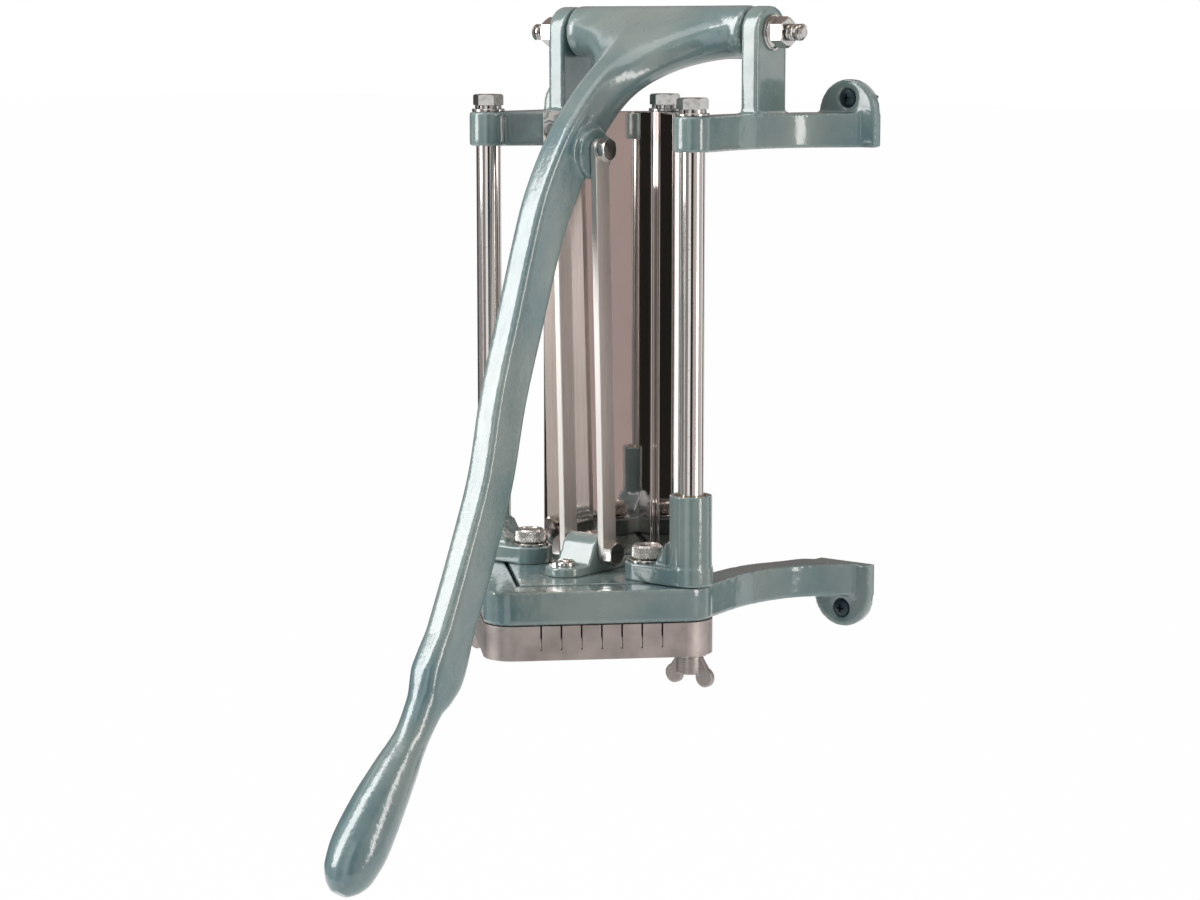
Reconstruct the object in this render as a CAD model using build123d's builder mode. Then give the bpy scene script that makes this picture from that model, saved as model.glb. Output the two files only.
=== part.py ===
from build123d import *
import os
from math import atan2, cos, degrees, hypot, sin, sqrt

os.makedirs("parts", exist_ok=True)

# Millimetres. +Z is up, the wall is the plane Y = 0, the cutter stands off it towards -Y,
# and the origin is the centre of the pattern of its four wall holes.

# Cutting head
fry_width = 9.525
fries_across = 8
opening_side = fries_across * fry_width
head_side = 109.0
head_corner_radius = 14.0
tray_height = 16.4
slot_depth = 11.5
blade_thickness = 0.6
blade_clearance = 0.1
blade_end_recess = 1.5

# Frame castings
frame_height = 236.0
upper_height = 16.6
lower_height = 16.0
wall_reach = 98.0
rod_circle_radius = 61.5
boss_radius = 9.2
arm_end_inset = 1.0
ear_radius = 16.0
ear_thickness = 5.5
ear_x = 86.0
wall_hole_rise = 7.0
wall_hole_radius = 3.3
wall_recess_radius = 4.7
wall_recess_depth = 2.2

# Rods and their fasteners
rod_radius = 6.0
back_rod_radius = 5.0
rod_seat = 6.0
stud_radius = 4.0
rod_fit = 0.05
hex_across_flats = 13.0
hex_height = 5.3
spring_washer_height = 1.8
spring_washer_gap = 1.2
flat_washer_radius = 8.0
flat_washer_height = 1.4
turning_gap = 0.1
bolt_engagement = 14.0
bolt_end_gap = 1.0
stud_engagement = 9.0

# Trough
sheet_thickness = 1.5
sheet_gap = 0.1
bend_radius = 2.5
wing_length = 55.2
trough_screw_radius = 2.0
trough_screw_length = 5.0

# Lever pivot
pivot_rise = 38.3
upright_span = 127.2
upright_thickness = 9.6
upright_depth = 25.0
pivot_radius = 4.0
pivot_half_length = 82.0
bush_radius = 6.5
bush_length = 16.0
bush_flange_radius = 9.0
bush_flange = 1.0
running_fit = 0.05
side_play = 0.3
pivot_washer_radius = 8.6
pivot_washer_height = 1.6
pivot_nut_height = 8.0

# Lever
hub_radius = 12.8
lever_reach = 241.5
lever_drop = 378.8
lever_width = 14.0
lever_depth = 22.0
grip_radius = 13.3
flare_length = 42.0
flare_depth = 19.0
boss_side_radius = 12.3
boss_drop = 2.0
link_gap = 20.4

# Links
link_width = 10.0
link_thickness = 3.3
link_pin_radius = 3.0
link_across_flats = 10.0
link_washer_radius = 5.6
link_washer_height = 0.8
link_head_height = 3.6
link_bolt_tail = 1.0
lower_pin_radius = 3.0
lower_pin_across_flats = 10.4
lower_pin_head_height = 4.6

# Pusher
opening_clearance = 1.5
plate_thickness = 8.0
block_base = 3.0
peg_clearance = 0.9
peg_recess = 1.0
rest_gap = 0.3
sleeve_radius = 10.1
sleeve_height = 42.8
slider_bush_wall = 1.3
foot_height = 8.4
foot_width = 21.5
thumb_spacing = 72.0
thumb_nut_radius = 7.5
thumb_nut_height = 6.6
thumb_washer_radius = 9.0
thumb_washer_height = 1.2
thumb_stud_radius = 3.0
thumb_flutes = 30
thumb_flute_radius = 0.45
gusset_share = 1.4
gusset_overlap = 1.0
bracket_base = 4.5
bracket_rear = 19.0
bracket_front = 27.0
bracket_pad_radius = 9.9
lug_lean_share = 0.7
lug_radius = 8.4
pin_rise = 9.5
lug_clearance = 1.0
bracket_screw_radius = 2.5
bracket_screw_head_radius = 5.0
bracket_screw_head_height = 3.0

# Wing nuts
wing_hub_radius = 6.5
wing_hub_height = 8.6
wing_span = 27.0
wing_thickness = 3.2
wing_height = 14.5
wing_tip_share = 0.32
wing_washer_radius = 8.0
wing_washer_height = 1.2

# Wall screws
wall_screw_radius = 3.0
wall_screw_neck_radius = 3.2
wall_screw_head_radius = 4.4
wall_screw_head_height = 2.9
wall_screw_reach = 22.0

# Heights and places worked out from the sizes above
frame_top = frame_height / 2
upper_base = frame_top - upper_height
lower_base = -frame_height / 2
lower_top = lower_base + lower_height
tray_base = lower_base - tray_height
head_y = -wall_reach
rod_places = [(-rod_circle_radius, head_y), (rod_circle_radius, head_y), (0, head_y + rod_circle_radius)]
pivot_y = head_y + rod_circle_radius
upright_inner = upright_span / 2 - upright_thickness
wall_hole_height = frame_top + wall_hole_rise
pivot_height = frame_top + pivot_rise
both_sides = (-1, 1)
stud_bore = stud_radius + rod_fit
thumb_bore = thumb_stud_radius + rod_fit
overrun = head_side


def level(height):
    """The horizontal plane at a height."""
    return Plane.XY.offset(height)


def diamond(side, height):
    """A square round the head's centre with its corners towards the wall and the sides."""
    with BuildSketch(level(height)) as outline:
        with Locations((0, head_y)):
            Rectangle(side, side, rotation=45)
    return outline.sketch


def disc(radius, height, places):
    """Equal discs at a height."""
    with BuildSketch(level(height)) as outline:
        with Locations(*places):
            Circle(radius)
    return outline.sketch


def ring(outer, inner, height, places):
    """Equal rings at a height."""
    with BuildSketch(level(height)) as outline:
        with Locations(*places):
            Circle(outer)
            Circle(inner, mode=Mode.SUBTRACT)
    return outline.sketch


def side_plane(x):
    """The upright plane at x that looks along the pivot: its axes are Y and Z."""
    return Plane.YZ.offset(x)


# Each frame arm in plan: shares of the way from the rod to the ear, and of the wall reach
arm_outer_shares = [(0.36, 0.02), (0.27, 0.20), (0.22, 0.40), (0.31, 0.57), (0.57, 0.735), (1.05, 0.87)]
arm_inner_shares = [(-0.45, 0.32), (-0.44, 0.45), (-0.34, 0.63), (-0.03, 0.81), (0.22, 0.93)]
arm_root_share = 0.25


def arm_plan(height):
    """Both arms in plan, from the side rods back to the wall."""

    def place(shares):
        along = rod_circle_radius + shares[0] * (ear_x - rod_circle_radius)
        return (along, head_y + shares[1] * wall_reach)

    outer = [place(shares) for shares in arm_outer_shares]
    inner = [place(shares) for shares in arm_inner_shares]
    outer_end = (ear_x + ear_radius / 2, -ear_thickness)
    inner_end = (ear_x - ear_radius + arm_end_inset, -ear_thickness)
    root = (rod_circle_radius - arm_root_share * boss_radius, head_y)
    with BuildSketch(level(height)) as outline:
        with BuildLine():
            Line((rod_circle_radius, head_y), outer[0])
            Spline(*outer, outer_end)
            Polyline(outer_end, (outer_end[0], 0), (inner_end[0], 0), inner_end)
            Spline(inner_end, *reversed(inner))
            Polyline(inner[0], root, (rod_circle_radius, head_y))
        make_face()
        mirror(about=Plane.YZ)
    return outline.sketch


def ear_outline(outer_height, inner_height):
    """The two wall ears of a casting: half discs past its outer face, square inside it."""
    with BuildSketch(Plane.XZ) as outline:
        with Locations((-ear_x, outer_height), (ear_x, outer_height)):
            Circle(ear_radius)
        middle = (outer_height + inner_height) / 2
        with Locations((-ear_x, middle), (ear_x, middle)):
            Rectangle(2 * ear_radius, abs(outer_height - inner_height))
    return outline.sketch


def wall_discs(radius, y, heights):
    """Discs on the axes of the wall holes, on the upright plane at y, facing away from the wall."""
    with BuildSketch(Plane.XZ.offset(-y)) as outline:
        with Locations(*[(x, height) for x in (-ear_x, ear_x) for height in heights]):
            Circle(radius)
    return outline.sketch


# Upper frame: three rod bosses, a V wall behind the trough, two arms, ears and uprights
trough_face = opening_side / 2 + sheet_thickness + sheet_gap
rod_line = rod_circle_radius / sqrt(2)
v_wall_width = 2 * (rod_line - trough_face)
v_corner = trough_face * sqrt(2)

wing_run = wing_length / sqrt(2)
sheet_run = sheet_thickness / sqrt(2)
corner_y = head_y + opening_side / sqrt(2)
screw_height = (frame_top + upper_base) / 2


def wing_plane(side, depth):
    """A plane in a trough wing, halfway along it, facing the potato, some depth into the sheet."""
    middle = wing_run / 2
    back = depth / sqrt(2)
    return Plane(
        origin=(side * (middle + back), corner_y - middle + back, screw_height),
        x_dir=(side, -1, 0),
        z_dir=(-side, -1, 0),
    )


with BuildPart() as upper_frame:
    with BuildSketch(level(upper_base)):
        with Locations(*rod_places):
            Circle(boss_radius)
        with Locations(
            Location((-rod_circle_radius / 2, head_y + rod_circle_radius / 2), (0, 0, 45)),
            Location((rod_circle_radius / 2, head_y + rod_circle_radius / 2), (0, 0, -45)),
        ):
            Rectangle(rod_circle_radius * sqrt(2), v_wall_width)
        with BuildLine():
            Polyline(
                (0, head_y + v_corner),
                (boss_radius * 2, head_y + v_corner - boss_radius * 2),
                (-boss_radius * 2, head_y + v_corner - boss_radius * 2),
                close=True,
            )
        make_face(mode=Mode.SUBTRACT)
    extrude(amount=upper_height)
    extrude(arm_plan(upper_base), amount=upper_height)
    extrude(ear_outline(frame_top, upper_base), amount=ear_thickness)
    for side in both_sides:
        with BuildSketch(side_plane(side * upright_inner)):
            with Locations((pivot_y, (pivot_height + upper_base) / 2)):
                Rectangle(upright_depth, pivot_height - upper_base)
            with Locations((pivot_y, pivot_height)):
                Circle(upright_depth / 2)
        extrude(amount=side * upright_thickness)
    extrude(disc(rod_radius + rod_fit, upper_base, rod_places[:2]), amount=rod_seat, mode=Mode.SUBTRACT)
    back_seat = disc(back_rod_radius + rod_fit, upper_base, rod_places[2:])
    extrude(back_seat, amount=rod_seat, mode=Mode.SUBTRACT)
    extrude(disc(stud_bore, upper_base, rod_places), amount=upper_height, mode=Mode.SUBTRACT)
    extrude(wall_discs(wall_hole_radius, 0, [wall_hole_height]), amount=ear_thickness, mode=Mode.SUBTRACT)
    recess = wall_discs(wall_recess_radius, wall_recess_depth - ear_thickness, [wall_hole_height])
    extrude(recess, amount=overrun, mode=Mode.SUBTRACT)
    for side in both_sides:
        with BuildSketch(wing_plane(side, sheet_thickness)):
            Circle(trough_screw_radius + rod_fit)
        extrude(amount=-trough_screw_length, mode=Mode.SUBTRACT)
    with BuildSketch(side_plane(-upright_span)):
        with Locations((pivot_y, pivot_height)):
            Circle(pivot_radius + rod_fit)
    extrude(amount=2 * upright_span, mode=Mode.SUBTRACT)
upper_frame.part.label = "upper_frame"
export_step(upper_frame.part, "parts/upper_frame.step")

# Lower frame: the square rim that carries the head, with its arms and ears
with BuildPart() as lower_frame:
    with BuildSketch(level(lower_base)):
        with Locations((0, head_y)):
            RectangleRounded(head_side, head_side, head_corner_radius, rotation=45)
    extrude(amount=lower_height)
    extrude(arm_plan(lower_base), amount=lower_height)
    extrude(ear_outline(lower_base, lower_top), amount=ear_thickness)
    extrude(diamond(opening_side, lower_base), amount=lower_height, mode=Mode.SUBTRACT)
    seat_base = lower_top - rod_seat
    extrude(disc(rod_radius + rod_fit, seat_base, rod_places[:2]), amount=rod_seat, mode=Mode.SUBTRACT)
    extrude(disc(back_rod_radius + rod_fit, seat_base, rod_places[2:]), amount=rod_seat, mode=Mode.SUBTRACT)
    extrude(disc(stud_bore, lower_base, rod_places), amount=lower_height, mode=Mode.SUBTRACT)
    extrude(wall_discs(wall_hole_radius, 0, [-wall_hole_height]), amount=ear_thickness, mode=Mode.SUBTRACT)
    recess = wall_discs(wall_recess_radius, wall_recess_depth - ear_thickness, [-wall_hole_height])
    extrude(recess, amount=overrun, mode=Mode.SUBTRACT)
lower_frame.part.label = "lower_frame"
export_step(lower_frame.part, "parts/lower_frame.step")


# Guide rods: plain between the castings, a stud through the head below, a tapped top
stud_end = tray_base - wing_washer_height - turning_gap - wing_hub_height


def guide_rod(place, radius, lower_end):
    """A rod with its seat in both castings, its lower stud and its tapped upper end."""
    with BuildPart() as rod:
        with BuildSketch(level(lower_top - rod_seat)):
            with Locations(place):
                Circle(radius)
        extrude(amount=upper_base - lower_top + 2 * rod_seat)
        with BuildSketch(level(lower_end)):
            with Locations(place):
                Circle(stud_radius)
        extrude(amount=lower_top - rod_seat - lower_end)
        with BuildSketch(level(upper_base + rod_seat - bolt_engagement)):
            with Locations(place):
                Circle(stud_radius - rod_fit)
        extrude(amount=bolt_engagement, mode=Mode.SUBTRACT)
    return rod


left_guide_rod = guide_rod(rod_places[0], rod_radius, stud_end)
left_guide_rod.part.label = "left_guide_rod"
export_step(left_guide_rod.part, "parts/left_guide_rod.step")

right_guide_rod = guide_rod(rod_places[1], rod_radius, stud_end)
right_guide_rod.part.label = "right_guide_rod"
export_step(right_guide_rod.part, "parts/right_guide_rod.step")

back_tie_rod = guide_rod(rod_places[2], back_rod_radius, lower_top - rod_seat - stud_engagement)
back_tie_rod.part.label = "back_tie_rod"
export_step(back_tie_rod.part, "parts/back_tie_rod.step")

# Rod cap bolts with a spring washer over a flat washer
spring_washer_base = frame_top + flat_washer_height
bolt_head_base = spring_washer_base + spring_washer_height
bolt_shank_end = upper_base + rod_seat - bolt_engagement + bolt_end_gap

with BuildPart() as rod_flat_washers:
    washer = ring(flat_washer_radius, stud_bore, frame_top, rod_places)
    extrude(washer, amount=flat_washer_height)
rod_flat_washers.part.label = "rod_flat_washers"
export_step(rod_flat_washers.part, "parts/rod_flat_washers.step")

with BuildPart() as rod_spring_washers:
    with BuildSketch(level(spring_washer_base)):
        with Locations(*rod_places):
            Circle(hex_across_flats / 2)
            Circle(stud_bore, mode=Mode.SUBTRACT)
        with Locations(*[(x, y - hex_across_flats / 2) for x, y in rod_places]):
            Rectangle(spring_washer_gap, hex_across_flats, mode=Mode.SUBTRACT)
    extrude(amount=spring_washer_height)
rod_spring_washers.part.label = "rod_spring_washers"
export_step(rod_spring_washers.part, "parts/rod_spring_washers.step")

with BuildPart() as rod_cap_bolts:
    with BuildSketch(level(bolt_head_base)):
        with Locations(*rod_places):
            RegularPolygon(hex_across_flats / 2, 6, major_radius=False, rotation=30)
    extrude(amount=hex_height)
    shanks = disc(stud_radius - 2 * rod_fit, bolt_shank_end, rod_places)
    extrude(shanks, amount=bolt_head_base - bolt_shank_end)
rod_cap_bolts.part.label = "rod_cap_bolts"
export_step(rod_cap_bolts.part, "parts/rod_cap_bolts.step")

# Potato trough: a bent sheet whose inner faces stand on the two back sides of the opening
with BuildPart() as potato_trough:
    with BuildSketch(level(lower_top)) as trough_plan:
        with BuildLine():
            Polyline(
                (wing_run, corner_y - wing_run),
                (0, corner_y),
                (-wing_run, corner_y - wing_run),
                (-wing_run - sheet_run, corner_y - wing_run + sheet_run),
                (0, corner_y + 2 * sheet_run),
                (wing_run + sheet_run, corner_y - wing_run + sheet_run),
                close=True,
            )
        make_face()
        fillet(trough_plan.vertices().sort_by(Axis.Y)[-1], radius=bend_radius + sheet_thickness)
        fillet(trough_plan.vertices().sort_by(Axis.Y)[-1], radius=bend_radius)
    extrude(amount=frame_top - lower_top)
    for side in both_sides:
        with BuildSketch(wing_plane(side, 0)):
            Circle(trough_screw_radius + rod_fit)
        extrude(amount=-sheet_thickness, mode=Mode.SUBTRACT)
potato_trough.part.label = "potato_trough"
export_step(potato_trough.part, "parts/potato_trough.step")

with BuildPart() as trough_screws:
    for side in both_sides:
        with BuildSketch(wing_plane(side, 0)):
            Circle(trough_screw_radius)
        extrude(amount=-trough_screw_length)
trough_screws.part.label = "trough_screws"
export_step(trough_screws.part, "parts/trough_screws.step")

# Cutting head: a steel tray with seven slots each way and two crossing sets of blades
slot_width = blade_thickness + 2 * blade_clearance
blade_height = (slot_depth - 3 * blade_clearance) / 2
slot_base = lower_base - slot_depth
turned_head = {angle: Location((0, head_y, 0), (0, 0, angle)) for angle in (45, -45)}

with BuildPart() as blade_tray:
    with BuildSketch(level(tray_base)):
        with Locations((0, head_y)):
            RectangleRounded(head_side, head_side, head_corner_radius, rotation=45)
    extrude(amount=tray_height)
    extrude(diamond(opening_side, tray_base), amount=tray_height, mode=Mode.SUBTRACT)
    with BuildSketch(level(slot_base)):
        for turn in turned_head.values():
            with Locations(turn):
                with GridLocations(fry_width, fry_width, fries_across - 1, 1):
                    Rectangle(slot_width, head_side + overrun)
    extrude(amount=slot_depth, mode=Mode.SUBTRACT)
    extrude(disc(stud_bore, tray_base, rod_places[:2]), amount=tray_height, mode=Mode.SUBTRACT)
blade_tray.part.label = "blade_tray"
export_step(blade_tray.part, "parts/blade_tray.step")


def blade_set(angle, height):
    """One set of parallel blades."""
    with BuildPart() as blades:
        with BuildSketch(level(height)):
            with Locations(turned_head[angle]):
                with GridLocations(fry_width, fry_width, fries_across - 1, 1):
                    Rectangle(blade_thickness, head_side - 2 * blade_end_recess)
        extrude(amount=blade_height)
    return blades


lower_blades = blade_set(45, slot_base)
lower_blades.part.label = "lower_blades"
export_step(lower_blades.part, "parts/lower_blades.step")

upper_blades = blade_set(-45, slot_base + blade_height + blade_clearance)
upper_blades.part.label = "upper_blades"
export_step(upper_blades.part, "parts/upper_blades.step")

# Wing nuts that hold the head up against the lower frame, each over a washer
side_rods = rod_places[:2]
wing_washer_base = tray_base - wing_washer_height
wing_base = wing_washer_base - turning_gap - wing_hub_height

with BuildPart() as wing_nut_washers:
    washer = ring(wing_washer_radius, stud_bore, wing_washer_base, side_rods)
    extrude(washer, amount=wing_washer_height)
wing_nut_washers.part.label = "wing_nut_washers"
export_step(wing_nut_washers.part, "parts/wing_nut_washers.step")


def wing_nut(place):
    """A wing nut: a round hub and two drooping wings."""
    wing_tip = wing_height * wing_tip_share
    wing_drop = wing_hub_height - wing_height + wing_tip
    with BuildPart() as nut:
        with BuildSketch(level(wing_base)):
            with Locations(place):
                Circle(wing_hub_radius)
        extrude(amount=wing_hub_height)
        with BuildSketch(Plane(origin=(place[0], place[1], wing_base), x_dir=(1, 0, 0), z_dir=(0, -1, 0))):
            for side in both_sides:
                with BuildLine():
                    Polyline(
                        (side * wing_hub_radius / 2, wing_hub_height),
                        (side * wing_hub_radius, wing_hub_height),
                        (side * wing_span / 2, wing_drop),
                        (side * wing_hub_radius, wing_drop),
                        (side * wing_hub_radius / 2, wing_hub_height / 4),
                        close=True,
                    )
                make_face()
                with Locations((side * (wing_span / 2 - wing_tip), wing_drop)):
                    Circle(wing_tip)
        extrude(amount=wing_thickness / 2, both=True)
        with BuildSketch(level(wing_base)):
            with Locations(place):
                Circle(stud_radius + running_fit)
        extrude(amount=wing_hub_height, mode=Mode.SUBTRACT)
    return nut


left_wing_nut = wing_nut(side_rods[0])
left_wing_nut.part.label = "left_wing_nut"
export_step(left_wing_nut.part, "parts/left_wing_nut.step")

right_wing_nut = wing_nut(side_rods[1])
right_wing_nut.part.label = "right_wing_nut"
export_step(right_wing_nut.part, "parts/right_wing_nut.step")

# Lever pivot: a long bolt through both uprights with a washer and a nut at each end


def side_disc(x, y, z, radius):
    """A disc on the upright plane at x."""
    with BuildSketch(side_plane(x)) as outline:
        with Locations((y, z)):
            Circle(radius)
    return outline.sketch


def side_ring(x, y, z, outer, inner):
    """A ring on the upright plane at x."""
    with BuildSketch(side_plane(x)) as outline:
        with Locations((y, z)):
            Circle(outer)
            Circle(inner, mode=Mode.SUBTRACT)
    return outline.sketch


def side_hex(x, y, z, across, hole):
    """A hexagon on the upright plane at x, with or without a hole."""
    with BuildSketch(side_plane(x)) as outline:
        with Locations((y, z)):
            RegularPolygon(across / 2, 6, major_radius=False)
            if hole:
                Circle(hole, mode=Mode.SUBTRACT)
    return outline.sketch


with BuildPart() as pivot_bolt:
    shank = side_disc(-pivot_half_length, pivot_y, pivot_height, pivot_radius)
    extrude(shank, amount=2 * pivot_half_length)
pivot_bolt.part.label = "pivot_bolt"
export_step(pivot_bolt.part, "parts/pivot_bolt.step")

pivot_hole = pivot_radius + rod_fit
pivot_bore = pivot_radius + running_fit
with BuildPart() as pivot_washers:
    for side in both_sides:
        start = side * upright_span / 2
        extrude(
            side_ring(start, pivot_y, pivot_height, pivot_washer_radius, pivot_hole),
            amount=side * pivot_washer_height,
        )
pivot_washers.part.label = "pivot_washers"
export_step(pivot_washers.part, "parts/pivot_washers.step")

with BuildPart() as pivot_nuts:
    for side in both_sides:
        start = side * (upright_span / 2 + pivot_washer_height)
        nut = side_hex(start, pivot_y, pivot_height, hex_across_flats, pivot_hole)
        extrude(nut, amount=side * pivot_nut_height)
pivot_nuts.part.label = "pivot_nuts"
export_step(pivot_nuts.part, "parts/pivot_nuts.step")

# Lever: hub, flare, curved arm, link boss and grip. Each station of the arm is a share of the
# lever's reach and drop from the pivot, then shares of its width and depth and of its corner.
hub_half = upright_inner - bush_flange - side_play
grip_width = 2 * grip_radius
arm_station_shares = [
    (0.085, 0.026, 1.50, 0.86, 0.90),
    (0.191, 0.069, 1.14, 1.00, 0.75),
    (0.269, 0.112, 1.00, 1.10, 0.66),
    (0.326, 0.156, 1.00, 1.13, 0.64),
    (0.377, 0.207, 1.00, 1.10, 0.64),
    (0.411, 0.254, 1.00, 1.05, 0.64),
    (0.466, 0.350, 1.00, 1.00, 0.64),
    (0.518, 0.444, 1.00, 0.97, 0.64),
    (0.557, 0.540, 1.00, 0.95, 0.64),
    (0.612, 0.628, 1.00, 1.00, 0.66),
    (0.678, 0.719, 1.02, 1.06, 0.72),
    (0.714, 0.765, 1.10, 1.08, 0.84),
    (0.755, 0.802, 1.13, 0.82, 0.94),
]
grip_station_shares = [
    (0.791, 0.834, 0.61),
    (0.840, 0.871, 0.78),
    (0.890, 0.909, 0.93),
    (0.935, 0.946, 1.00),
    (0.968, 0.974, 0.88),
    (0.986, 0.989, 0.62),
    (0.995, 0.997, 0.30),
]


def lever_point(shares):
    """A point of the lever's centreline, in Y and Z."""
    return (pivot_y - shares[0] * lever_reach, pivot_height - shares[1] * lever_drop)


lever_line = [lever_point(station) for station in arm_station_shares + grip_station_shares]
link_pin_shares = (0.2795, 0.1441)
link_pin_y, link_pin_z = lever_point(link_pin_shares)
link_pin_hole = link_pin_radius + rod_fit


def station_plane(index):
    """The plane square to the lever's centreline at a station."""
    before = lever_line[max(index - 1, 0)]
    after = lever_line[min(index + 1, len(lever_line) - 1)]
    here = lever_line[index]
    return Plane(
        origin=(0, here[0], here[1]),
        x_dir=(1, 0, 0),
        z_dir=(0, after[0] - before[0], after[1] - before[1]),
    )


def section(index, width, depth, corner_share):
    """A rounded section of the arm, nearly round where its corner share is nearly 1."""
    with BuildSketch(station_plane(index)) as outline:
        RectangleRounded(width, depth, corner_share * min(width, depth) / 2)
    return outline.sketch


round_share = 0.98
sections = [
    section(index, station[2] * lever_width, station[3] * lever_depth, station[4])
    for index, station in enumerate(arm_station_shares)
] + [
    section(index + len(arm_station_shares), station[2] * grip_width, station[2] * grip_width, round_share)
    for index, station in enumerate(grip_station_shares)
]

flare_edge_shares = [(0.96, 0.0), (0.90, 0.30), (0.50, 0.46), (0.29, 0.70), (0.20, 1.0)]
first_y, first_z = lever_line[0]
flare_angle = atan2(pivot_height - first_z, pivot_y - first_y)
flare_plane = Plane(
    origin=(0, pivot_y, pivot_height),
    x_dir=(1, 0, 0),
    z_dir=(0, -sin(flare_angle), cos(flare_angle)),
)

with BuildPart() as lever:
    loft(sections)
    with BuildSketch(flare_plane):
        edge = [(share * hub_half, -reach * flare_length) for share, reach in flare_edge_shares]
        with BuildLine():
            Spline(*edge)
            Line(edge[-1], (0, edge[-1][1]))
            Line((0, edge[-1][1]), (0, 0))
            Line((0, 0), edge[0])
        make_face()
        mirror(about=Plane.YZ)
    extrude(amount=flare_depth / 2, both=True)
    extrude(side_disc(-hub_half, pivot_y, pivot_height, hub_radius), amount=2 * hub_half)
    boss_half = link_gap / 2 - side_play
    boss = side_disc(-boss_half, link_pin_y, link_pin_z - boss_drop, boss_side_radius)
    extrude(boss, amount=2 * boss_half)
    hub_bore = side_disc(-hub_half, pivot_y, pivot_height, pivot_bore)
    extrude(hub_bore, amount=2 * hub_half, mode=Mode.SUBTRACT)
    for side in both_sides:
        start = side * (hub_half - bush_length)
        seat = side_disc(start, pivot_y, pivot_height, bush_radius + rod_fit)
        extrude(seat, amount=side * bush_length, mode=Mode.SUBTRACT)
    pin_bore = side_disc(-boss_half, link_pin_y, link_pin_z, link_pin_hole)
    extrude(pin_bore, amount=2 * boss_half, mode=Mode.SUBTRACT)
lever.part.label = "lever"
export_step(lever.part, "parts/lever.step")

# Flanged bushes in the hub's ends
with BuildPart() as hub_bushes:
    for side in both_sides:
        inner = side * (hub_half - bush_length)
        tube = side_ring(inner, pivot_y, pivot_height, bush_radius, pivot_bore)
        extrude(tube, amount=side * bush_length)
        rim = side_ring(side * hub_half, pivot_y, pivot_height, bush_flange_radius, pivot_bore)
        extrude(rim, amount=side * bush_flange)
hub_bushes.part.label = "hub_bushes"
export_step(hub_bushes.part, "parts/hub_bushes.step")

# Links: two flat bars from the lever's boss down to the pusher's bracket
plate_top = lower_top + rest_gap
lower_pin_z = plate_top + pin_rise
link_length = hypot(link_pin_y - head_y, link_pin_z - lower_pin_z)
link_angle = degrees(atan2(link_pin_z - lower_pin_z, link_pin_y - head_y))
link_inner = link_gap / 2
link_outer = link_inner + link_thickness


def link(side):
    """A flat bar with round ends and two pin holes."""
    with BuildPart() as bar:
        with BuildSketch(side_plane(side * link_inner)):
            with Locations(((link_pin_y + head_y) / 2, (link_pin_z + lower_pin_z) / 2)):
                SlotCenterToCenter(link_length, link_width, rotation=link_angle)
            with Locations((link_pin_y, link_pin_z)):
                Circle(link_pin_radius + running_fit, mode=Mode.SUBTRACT)
            with Locations((head_y, lower_pin_z)):
                Circle(lower_pin_radius + rod_fit, mode=Mode.SUBTRACT)
        extrude(amount=side * link_thickness)
    return bar


left_link = link(-1)
left_link.part.label = "left_link"
export_step(left_link.part, "parts/left_link.step")

right_link = link(1)
right_link.part.label = "right_link"
export_step(right_link.part, "parts/right_link.step")

# Upper link pivot: a bolt and nut with washers, which stay with the lever
washer_start = link_outer + turning_gap
head_start = washer_start + link_washer_height
with BuildPart() as link_washers:
    for side in both_sides:
        start = side * washer_start
        washer = side_ring(start, link_pin_y, link_pin_z, link_washer_radius, link_pin_hole)
        extrude(washer, amount=side * link_washer_height)
link_washers.part.label = "link_washers"
export_step(link_washers.part, "parts/link_washers.step")

bolt_tail = head_start + link_head_height + link_bolt_tail
with BuildPart() as link_bolt:
    head = side_hex(head_start, link_pin_y, link_pin_z, link_across_flats, 0)
    extrude(head, amount=link_head_height)
    extrude(side_disc(-bolt_tail, link_pin_y, link_pin_z, link_pin_radius), amount=bolt_tail + head_start)
link_bolt.part.label = "link_bolt"
export_step(link_bolt.part, "parts/link_bolt.step")

with BuildPart() as link_nut:
    nut_face = side_hex(-head_start, link_pin_y, link_pin_z, link_across_flats, link_pin_hole)
    extrude(nut_face, amount=-link_head_height)
link_nut.part.label = "link_nut"
export_step(link_nut.part, "parts/link_nut.step")

# Lower link pivot: a short headed pin in each link, which stops clear of the bracket's lug
with BuildPart() as lower_link_pins:
    for side in both_sides:
        pin = side_disc(side * link_inner, head_y, lower_pin_z, lower_pin_radius)
        extrude(pin, amount=side * link_thickness)
        head = side_hex(side * link_outer, head_y, lower_pin_z, lower_pin_across_flats, 0)
        extrude(head, amount=side * lower_pin_head_height)
lower_link_pins.part.label = "lower_link_pins"
export_step(lower_link_pins.part, "parts/lower_link_pins.step")

# Pusher: a plate in the opening, with the peg block under it
plate_base = plate_top - plate_thickness
plate_side = opening_side - 2 * opening_clearance
plate_corner = bend_radius - opening_clearance
thumb_places = [(-thumb_spacing / 2, head_y), (thumb_spacing / 2, head_y)]
front_screw_y = head_y - bracket_front + bracket_pad_radius
rear_screw_y = head_y + bracket_rear - bracket_screw_head_radius
bracket_screw_places = [(0, front_screw_y), (0, rear_screw_y)]

with BuildPart() as pusher_plate:
    with BuildSketch(level(plate_base)):
        with Locations((0, head_y)):
            RectangleRounded(plate_side, plate_side, plate_corner, rotation=45)
    extrude(amount=plate_thickness)
    for holes in (
        disc(thumb_bore, plate_base, thumb_places),
        disc(bracket_screw_radius + rod_fit, plate_base, bracket_screw_places),
    ):
        extrude(holes, amount=plate_thickness, mode=Mode.SUBTRACT)
pusher_plate.part.label = "pusher_plate"
export_step(pusher_plate.part, "parts/pusher_plate.step")

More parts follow.
